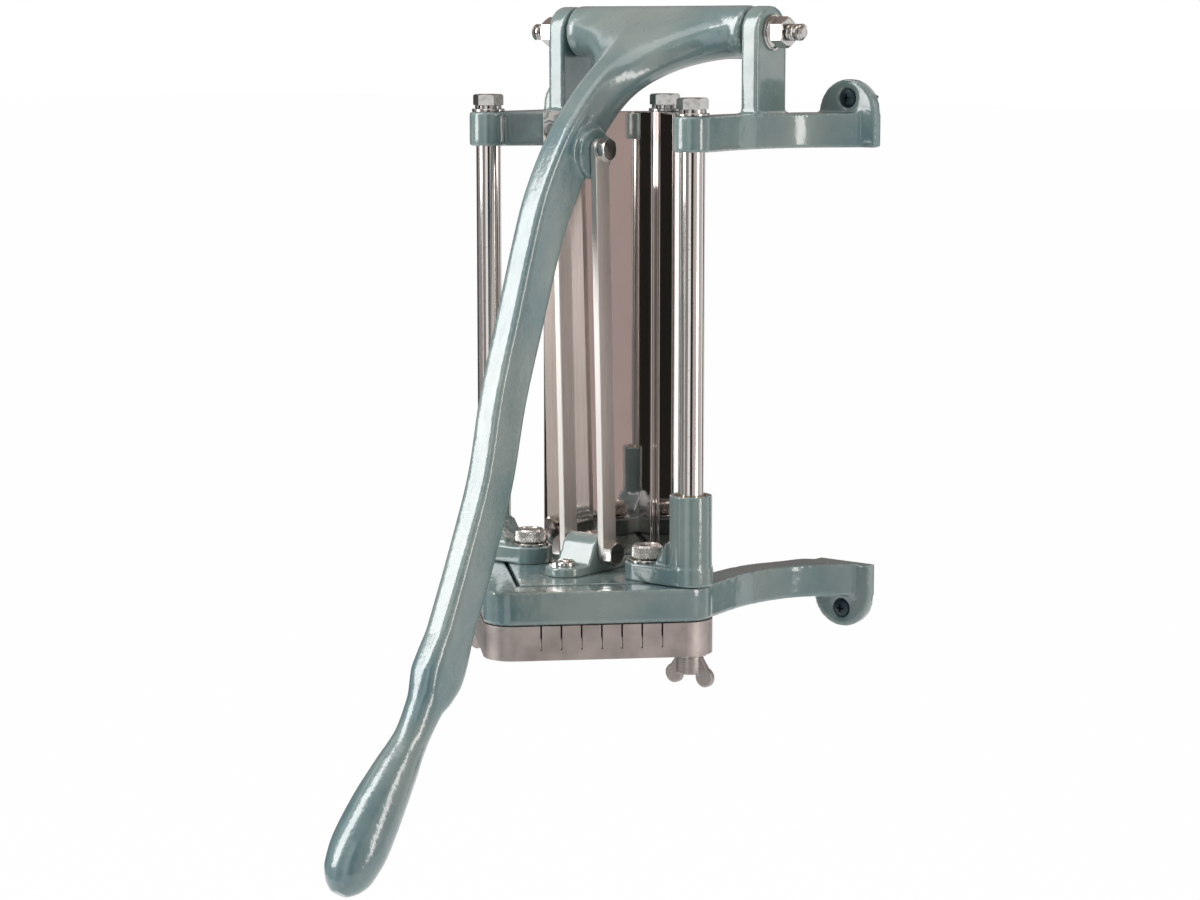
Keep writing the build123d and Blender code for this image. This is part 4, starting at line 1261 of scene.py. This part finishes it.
class CUTTER_OT_fasteners(bpy.types.Operator):
    """Bolts, washers, nuts and screws"""

    bl_idname = "cutter.fasteners"
    bl_label = "Fasteners"

    def execute(self, context):
        self.rod_caps()
        self.pivot()
        self.link_pins()
        self.wall_screws()
        self.bracket_screws()
        return {"FINISHED"}

    def rod_caps(self):
        """Hex bolts over split washers over flat washers, on the three rods."""
        low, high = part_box("rod_cap_bolts")
        head_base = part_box("rod_spring_washers")[1].z
        parts = [
            (hex_body(M8_ACROSS, high.z - head_base), Matrix.Identity(4)),
            (pin(0.0038, low.z - head_base, 0), Matrix.Identity(4)),
        ]
        bolt = joined(parts, "cap_bolt", HEX_SHARP)
        bolt.transform(turn_round("Z", 30))
        plated_row(bolt, RODS, head_base, "cap_bolts", "frame", "rod_cap_bolts", HEX_SHARP)
        low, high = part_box("rod_flat_washers")
        flat = mesh_from(washer(M8_WASHER, M8_HOLE, high.z - low.z), "flat_washer")
        plated_row(flat, RODS, low.z, "flat_washers", "frame", "rod_flat_washers")
        low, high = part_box("rod_spring_washers")
        split = self.split_washer(M8_ACROSS / 2, M8_HOLE, high.z - low.z)
        split = mesh_from(split, "split_washer")
        plated_row(split, RODS, low.z, "spring_washers", "frame", "rod_spring_washers")

    def split_washer(self, outer, inner, height):
        """A spring washer, cut through and slightly sprung."""
        steps = 60
        gap = radians(9)
        lift = height * 0.12
        corners = [(inner, 0), (outer, 0), (outer, height - lift), (inner, height - lift)]
        bm = bmesh.new()
        rings = []
        for step in range(steps + 1):
            share = step / steps
            angle = -pi / 2 + gap / 2 + (2 * pi - gap) * share
            rise = lift * share
            rings.append([bm.verts.new((r * cos(angle), r * sin(angle), z + rise))
                          for r, z in corners])
        return tube(bm, rings)

    def pivot(self):
        """The lever's pivot: threaded bolt ends, flanged nuts and washers."""
        low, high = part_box("pivot_bolt")
        centre = middle("pivot_bolt")
        radius = (high.z - low.z) / 2
        half = (high.x - low.x) / 2
        nut_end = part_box("pivot_nuts")[1].x
        washer_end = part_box("pivot_washers")[1].x
        threaded = half - nut_end + 0.003
        root = radius - 0.0006
        plain = half - threaded
        tip = half - 0.001
        profile = [
            (0, -half), (root - 0.001, -half), (root, -tip), (root, -plain), (radius, -plain),
            (radius, plain), (root, plain), (root, tip), (root - 0.001, half), (0, half),
        ]
        along = facing(1, centre.x, centre.y, centre.z)
        parts = [(turned(profile), along)]
        for start in (-tip, plain):
            thread = thread_mesh(radius, threaded - 0.001, "pivot_thread", "zinc")
            with_mesh(parts, thread, along @ at(0, 0, start))
        plated(joined(parts, "pivot_rod"), "pivot_rod", "frame", "pivot_bolt")
        nut_height = nut_end - washer_end
        flange, rim, neck = 0.0016, 0.0078, 0.0066
        flange_profile = [(M8_HOLE, 0), (rim, 0), (rim, 0.0006), (neck, flange), (M8_HOLE, flange)]
        washer_thick = 0.0016
        nuts, washers = [], []
        for side in (-1, 1):
            spot = facing(side, centre.x + side * (nut_end - nut_height), centre.y, centre.z)
            nuts.append((turned(flange_profile, closed=True), spot))
            hexagon = hex_body(M8_ACROSS, nut_height - flange, hole=M8_HOLE)
            nuts.append((hexagon, spot @ at(0, 0, flange)))
            spot = facing(side, centre.x + side * (washer_end - washer_thick), centre.y, centre.z)
            washers.append((washer(0.0086, M8_HOLE, washer_thick), spot))
        plated(joined(nuts, "pivot_nut_pair", HEX_SHARP), "pivot_nut_pair", "frame", "pivot_nuts")
        mesh = joined(washers, "pivot_washer_pair")
        plated(mesh, "pivot_washer_pair", "frame", "pivot_washers")

    def link_pins(self):
        """The upper link bolt with its nut and washers, and the lower pins."""
        centre = middle("link_washers")
        washer_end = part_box("link_washers")[1].x
        bolt_low, bolt_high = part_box("link_bolt")
        turn = facing(1, 0, centre.y, centre.z)
        shank = 0.00298
        threaded = 0.0042
        profile = [(0, bolt_low.x), (shank - 0.001, bolt_low.x), (shank, bolt_low.x + 0.001),
                   (shank, washer_end), (0, washer_end)]
        head = hex_body(M6_ACROSS, bolt_high.x - washer_end)
        parts = [(turned(profile), turn), (head, turn @ at(0, 0, washer_end))]
        thread = thread_mesh(shank + 0.0002, threaded, "link_thread", "zinc")
        with_mesh(parts, thread, turn @ at(0, 0, bolt_low.x + 0.0006))
        mesh = joined(parts, "link_pivot_bolt", HEX_SHARP)
        plated(mesh, "link_pivot_bolt", "lever", "link_bolt")
        nut_low, nut_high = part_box("link_nut")
        nut = hex_body(M6_ACROSS, nut_high.x - nut_low.x, hole=M6_HOLE)
        flip = facing(-1, nut_high.x, centre.y, centre.z)
        mesh = joined([(nut, flip)], "link_pivot_nut", HEX_SHARP)
        plated(mesh, "link_pivot_nut", "lever", "link_nut")
        thick = 0.0008
        parts = []
        for side in (-1, 1):
            spot = facing(side, side * (washer_end - thick), centre.y, centre.z)
            parts.append((washer(0.0056, M6_HOLE, thick), spot))
        plated(joined(parts, "link_washer_pair"), "link_washer_pair", "lever", "link_washers")
        self.lower_pins()

    def lower_pins(self):
        """The pins at the links' lower ends, with hex heads outside."""
        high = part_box("lower_link_pins")[1]
        centre = middle("lower_link_pins")
        bar_low, bar_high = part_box("right_link")
        width = bar_high.x - bar_low.x
        parts = []
        for side in (-1, 1):
            spot = facing(side, side * bar_low.x, centre.y, centre.z)
            parts.append((pin(0.003, 0, width), spot))
            parts.append((hex_body(0.0104, high.x - bar_high.x), spot @ at(0, 0, width)))
        mesh = joined(parts, "lower_pin_pair", HEX_SHARP)
        plated(mesh, "lower_pin_pair", "links", "lower_link_pins")

    def cross_head(self, radius, height, name):
        """A domed screw head with a cross recess, facing Z."""
        rounds = 8
        profile = [(0, 0), (radius * 0.96, 0), (radius, height * 0.12)]
        for index in range(rounds + 1):
            angle = radians(12 + 78 * index / rounds)
            across = radius * cos(angle) ** 0.75 if index < rounds else 0
            profile.append((across, height * (0.35 + 0.65 * sin(angle))))
        dome = mesh_from(turned(profile), name + "_dome", 40.0)
        cross = bmesh.new()
        for turn in (0, 90):
            bar = bmesh.ops.create_cube(cross, size=1.0)["verts"]
            for vert in bar:
                narrow = 0.45 if vert.co.z < 0 else 1.0
                vert.co.x *= radius * 1.25 * narrow
                vert.co.y *= radius * 0.27 * (0.6 + 0.4 * narrow)
            turned_bar = Matrix.Rotation(radians(turn), 3, "Z")
            bmesh.ops.rotate(cross, verts=bar, cent=(0, 0, 0), matrix=turned_bar)
        bmesh.ops.scale(cross, vec=(1, 1, height * 1.5), verts=cross.verts)
        bmesh.ops.translate(cross, vec=(0, 0, height * 1.05), verts=cross.verts)
        recess = mesh_from(cross, name + "_cross", 30.0)
        return cut(dome, recess, name, SCREW_SHARP, use_self=True)

    def wall_screws(self):
        """Dark screws in the four wall ears, with pointed threaded ends."""
        low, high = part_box("wall_screws")
        ear, radius, head = 0.086, 0.0044, 0.0029
        rise = (high.z - low.z) / 2 - radius
        mid = (high.z + low.z) / 2
        parts = []
        with_mesh(parts, self.cross_head(radius, head, "wall_head"))
        seat = low.y + head
        length = high.y - seat
        neck = length - high.y
        shank, body = 0.003, 0.0032
        profile = [(0, -length), (0.0006, -length), (0.0024, -length + 0.006),
                   (shank, -neck - 0.004), (shank, -neck), (body, -neck), (body, 0), (0, 0)]
        parts.append((turned(profile), Matrix.Identity(4)))
        thread = grown(thread_tree(), "wall_thread", 20.0, Radius=0.0023, Length=0.0118,
                       Turns=6.0, Ridge=0.0006, Finish=material("dark"))
        with_mesh(parts, thread, at(0, 0, -length + 0.0065))
        screw = joined(parts, "wall_screw", SCREW_SHARP)
        screw.transform(turn_round("X", 90))
        places = [(x, seat, mid + side * rise) for x in (-ear, ear) for side in (-1, 1)]
        mesh = on_points(screw, places, "wall_screw_set", "dark", SCREW_SHARP)
        dress(mesh, "wall_screw_set", "dark", "frame", DARK, "wall_screws")

    def bracket_screws(self):
        """Pan heads that hold the link bracket."""
        low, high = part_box("bracket_screws")
        head, radius = 0.003, 0.005
        parts = []
        with_mesh(parts, self.cross_head(radius, head, "pan_head"))
        parts.append((pin(0.0025, low.z + head - high.z, 0), Matrix.Identity(4)))
        screw = joined(parts, "pan_screw", SCREW_SHARP)
        places = [(0, y, high.z - head) for y in (low.y + radius, high.y - radius)]
        mesh = on_points(screw, places, "bracket_screw_pair", "zinc", SCREW_SHARP)
        plated(mesh, "bracket_screw_pair", "pusher", "bracket_screws")


class CUTTER_OT_links(bpy.types.Operator):
    """The two flat links"""

    bl_idname = "cutter.links"
    bl_label = "Links"

    def execute(self, context):
        for node in ("left_link", "right_link"):
            dress(edged_mesh(node, width=0.0004), node + "_bar", "bar", "links", SHEET, node)
        return {"FINISHED"}


class CUTTER_OT_wing_nuts(bpy.types.Operator):
    """The cast wing nuts under the head, with their washers"""

    bl_idname = "cutter.wing_nuts"
    bl_label = "Wing nuts"

    def execute(self, context):
        for node in WING_NUTS:
            mesh = cast_mesh(node, castings().wing_voxel, rounds=14)
            dress(mesh, node + "_casting", "cast_zinc", node, ZINC, node)
        low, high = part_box("wing_nut_washers")
        ring = washer(M8_WASHER, M8_HOLE, high.z - low.z, top_edge=False)
        ring = mesh_from(ring, "wing_washer")
        plated_row(ring, GUIDE_RODS, low.z, "wing_washer_pair", "frame", "wing_nut_washers")
        return {"FINISHED"}


class CUTTER_OT_thumb_nuts(bpy.types.Operator):
    """The knurled thumb nuts on the pusher"""

    bl_idname = "cutter.thumb_nuts"
    bl_label = "Thumb nuts"

    edge = 0.0007
    rows = 22

    def execute(self, context):
        depth = metals().knurl_depth
        count = metals().knurl_count
        for node in THUMB_NUTS:
            low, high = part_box(node)
            centre = middle(node)
            radius = (high.y - low.y) / 2 - depth
            profile = self.profile(radius, high.z - low.z)
            blank = mesh_from(turned(profile, steps=count * 6, closed=True), node + "_blank")
            mesh = grown(knurl_tree(), node + "_knurled", HEX_SHARP, blank, Diamonds=float(count),
                         Lean=count / radius, Depth=depth, Finish=material("knurled"))
            mesh.transform(at(centre.x, centre.y, low.z))
            dress(mesh, node + "_knurled", "knurled", node, ZINC, node)
        low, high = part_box("thumb_washers")
        ring = mesh_from(washer(0.009, M6_HOLE, high.z - low.z, edge=0.0002), "thumb_washer")
        plated_row(ring, THUMB_NUTS, low.z, "thumb_washer_pair", "pusher", "thumb_washers")
        keep("thumb_studs", "zinc")
        keep("slider_bushes", "bronze")
        return {"FINISHED"}

    def profile(self, radius, height):
        """A nut with a divided side for the knurl, a sunk top and a bore."""
        edge = self.edge
        sunk = height - 0.0004
        ceiling = height - 0.0014
        outline = [(M6_HOLE, 0), (radius - edge, 0), (radius, edge)]
        for row in range(1, self.rows):
            outline.append((radius, edge + (height - 2 * edge) * row / self.rows))
        return outline + [
            (radius, height - edge), (radius - edge, height), (radius * 0.7, height),
            (radius * 0.66, sunk), (0, sunk), (0, ceiling), (M6_HOLE, ceiling),
        ]


class CUTTER_OT_stage(bpy.types.Operator):
    """Camera, floor, lamps and reflecting boards"""

    bl_idname = "cutter.stage"
    bl_label = "Stage"

    # Name, azimuth, distance, half spread in degrees and colour of each upright board
    uprights = (
        ("board_behind_camera", -52.5, 2.3, 10.0, (0.034, 0.032, 0.030)),
        ("board_brown", -34.5, 2.2, 8.0, (0.60, 0.50, 0.48)),
        ("board_warm_one", -13.0, 2.2, 13.5, (0.66, 0.60, 0.58)),
        ("board_warm_two", 22.0, 2.2, 21.5, (0.62, 0.56, 0.54)),
        ("board_left_one", -98.0, 2.2, 14.0, (0.30, 0.27, 0.26)),
        ("board_left_two", -140.0, 2.4, 22.0, (0.34, 0.31, 0.30)),
        ("board_far_right", 72.0, 2.2, 12.0, (0.14, 0.13, 0.13)),
        ("board_behind", 124.0, 2.2, 20.0, (0.19, 0.155, 0.145)),
        ("board_far_left", 172.0, 2.2, 25.0, (0.10, 0.095, 0.095)),
    )
    board_half_height = 1.3
    floor_half = 30.0

    def execute(self, context):
        self.camera()
        self.floor()
        self.world()
        self.lamps()
        self.boards()
        bpy.context.scene.view_settings.view_transform = "Standard"
        return {"FINISHED"}

    def camera(self):
        sizes = stage_sizes()
        data = bpy.data.cameras.new("camera")
        data.lens = sizes.lens
        data.sensor_width = 36.0
        data.sensor_fit = "HORIZONTAL"
        data.clip_end = 50.0
        obj = linked(data, "camera")
        obj.location = sizes.camera_place
        obj.rotation_euler = (pi / 2 - sizes.camera_dip, 0.0, sizes.camera_turn)
        bpy.context.scene.camera = obj

    def sheet(self, name, half_x, half_y, height=0.0):
        """A flat rectangle that belongs to the stage, with its own plain material."""
        mesh = bpy.data.meshes.new(name)
        corners = [(-half_x, -half_y, height), (half_x, -half_y, height),
                   (half_x, half_y, height), (-half_x, half_y, height)]
        mesh.from_pydata(corners, [], [(0, 1, 2, 3)])
        paint = bpy.data.materials.new(name)
        paint.use_nodes = True
        mesh.materials.append(paint)
        return linked(mesh, name), paint.node_tree

    def glow(self, tree, colour):
        """Light of one colour, at the strength at which it renders as written."""
        return add(tree, "ShaderNodeEmission", {"Color": solid(colour), "Strength": 1.0}).outputs[0]

    def floor(self):
        """A pale floor far below, which shows as the backdrop's own colour."""
        height = cad_box[0][2] - stage_sizes().floor_drop
        floor, tree = self.sheet("floor", self.floor_half, self.floor_half, height)
        shader = tree.nodes["Principled BSDF"]
        shader.inputs["Base Color"].default_value = (0.82, 0.82, 0.82, 1.0)
        shader.inputs["Roughness"].default_value = 0.9
        share = maths(tree, "MULTIPLY", self.seen(tree), 0.985)
        inputs = {0: share, 1: shader.outputs[0], 2: self.glow(tree, stage_sizes().backdrop)}
        mix = add(tree, "ShaderNodeMixShader", inputs)
        tree.links.new(mix.outputs[0], tree.nodes["Material Output"].inputs["Surface"])

    def seen(self, tree):
        """1 where a ray comes from the camera, a reflection or glass."""
        path = add(tree, "ShaderNodeLightPath").outputs
        first = maths(tree, "MAXIMUM", path["Is Camera Ray"], path["Is Glossy Ray"])
        return maths(tree, "MAXIMUM", first, path["Is Transmission Ray"])

    def world(self):
        """A dim even room that the camera and reflections see as the backdrop."""
        world = bpy.data.worlds.new("soft_studio")
        bpy.context.scene.world = world
        world.use_nodes = True
        tree = world.node_tree
        for node in list(tree.nodes):
            tree.nodes.remove(node)

        def light(colour, strength):
            inputs = {"Color": solid(colour), "Strength": strength}
            return add(tree, "ShaderNodeBackground", inputs).outputs[0]

        room = light((0.96, 0.98, 1.0), 0.43)
        back = light(stage_sizes().backdrop, 1.0)
        mix = add(tree, "ShaderNodeMixShader", {0: self.seen(tree), 1: room, 2: back})
        add(tree, "ShaderNodeOutputWorld", {"Surface": mix.outputs[0]})

    def lamp(self, name, place, size, power, colour=(1.0, 1.0, 1.0)):
        """A soft oblong lamp that looks at the cutter's middle."""
        data = bpy.data.lights.new(name, "AREA")
        data.shape = "RECTANGLE"
        data.size, data.size_y = size
        data.energy = power
        data.color = colour
        obj = linked(data, name)
        obj.location = place
        direction = Vector((0.0, -0.09, 0.0)) - Vector(place)
        obj.rotation_euler = direction.to_track_quat("-Z", "Y").to_euler()

    def lamps(self):
        self.lamp("key", (-0.98, -1.36, 0.95), (0.80, 2.3), 36.0)
        self.lamp("top", (0.10, -0.35, 1.50), (1.2, 0.8), 3.5)
        self.lamp("side", (1.60, -0.10, 0.35), (0.35, 1.5), 9.5, (1.0, 0.96, 0.91))

    def boards(self):
        """Boards that only reflections see, which give the metal its bands."""
        for name, azimuth, distance, spread, colour in self.uprights:
            width = distance * sin(radians(spread)) / cos(radians(spread))
            turn = radians(azimuth)
            place = Vector((cos(turn) * distance, sin(turn) * distance, 0.0))
            self.board(name, place, (width, self.board_half_height), colour)
        self.board("board_ceiling", Vector((0.0, 0.0, 2.3)), (3.0, 3.0), (0.34, 0.27, 0.24))

    def board(self, name, place, half, colour):
        """A glowing board that looks at the middle and that only reflections see."""
        board, tree = self.sheet(name, *half)
        board.rotation_euler = (-place).to_track_quat("Z", "Y").to_euler()
        board.location = place
        output = tree.nodes["Material Output"]
        tree.links.new(self.glow(tree, colour), output.inputs["Surface"])
        board.visible_camera = False
        board.visible_diffuse = False
        board.visible_shadow = False


class CUTTER_PT_panel(bpy.types.Panel):
    """Lists the cutter's pieces"""

    bl_idname = "CUTTER_PT_panel"
    bl_label = "Cutter"
    bl_space_type = "VIEW_3D"
    bl_region_type = "UI"
    bl_category = "Cutter"

    def draw(self, context):
        layout = self.layout
        for operator in OPERATORS:
            layout.operator(operator.bl_idname)
        for group in (castings(), metals(), stage_sizes()):
            box = layout.box()
            for name in group.__annotations__:
                box.prop(group, name)


OPERATORS = (
    CUTTER_OT_castings,
    CUTTER_OT_lever,
    CUTTER_OT_rods,
    CUTTER_OT_trough,
    CUTTER_OT_head,
    CUTTER_OT_fasteners,
    CUTTER_OT_links,
    CUTTER_OT_wing_nuts,
    CUTTER_OT_thumb_nuts,
    CUTTER_OT_stage,
)
GROUPS = (CastingSizes, MetalSizes, StageSizes)
CLASSES = GROUPS + OPERATORS + (CUTTER_PT_panel,)


def register():
    for cls in CLASSES:
        bpy.utils.register_class(cls)
    bpy.types.Scene.cutter_castings = PointerProperty(type=CastingSizes)
    bpy.types.Scene.cutter_metals = PointerProperty(type=MetalSizes)
    bpy.types.Scene.cutter_stage = PointerProperty(type=StageSizes)


def unregister():
    del bpy.types.Scene.cutter_stage
    del bpy.types.Scene.cutter_metals
    del bpy.types.Scene.cutter_castings
    for cls in reversed(CLASSES):
        bpy.utils.unregister_class(cls)


def main():
    register()
    bpy.ops.cutter.stage()
    bpy.ops.cutter.castings()
    bpy.ops.cutter.lever()
    bpy.ops.cutter.rods()
    bpy.ops.cutter.trough()
    bpy.ops.cutter.head()
    bpy.ops.cutter.fasteners()
    bpy.ops.cutter.links()
    bpy.ops.cutter.wing_nuts()
    bpy.ops.cutter.thumb_nuts()


if __name__ == "__main__":
    main()
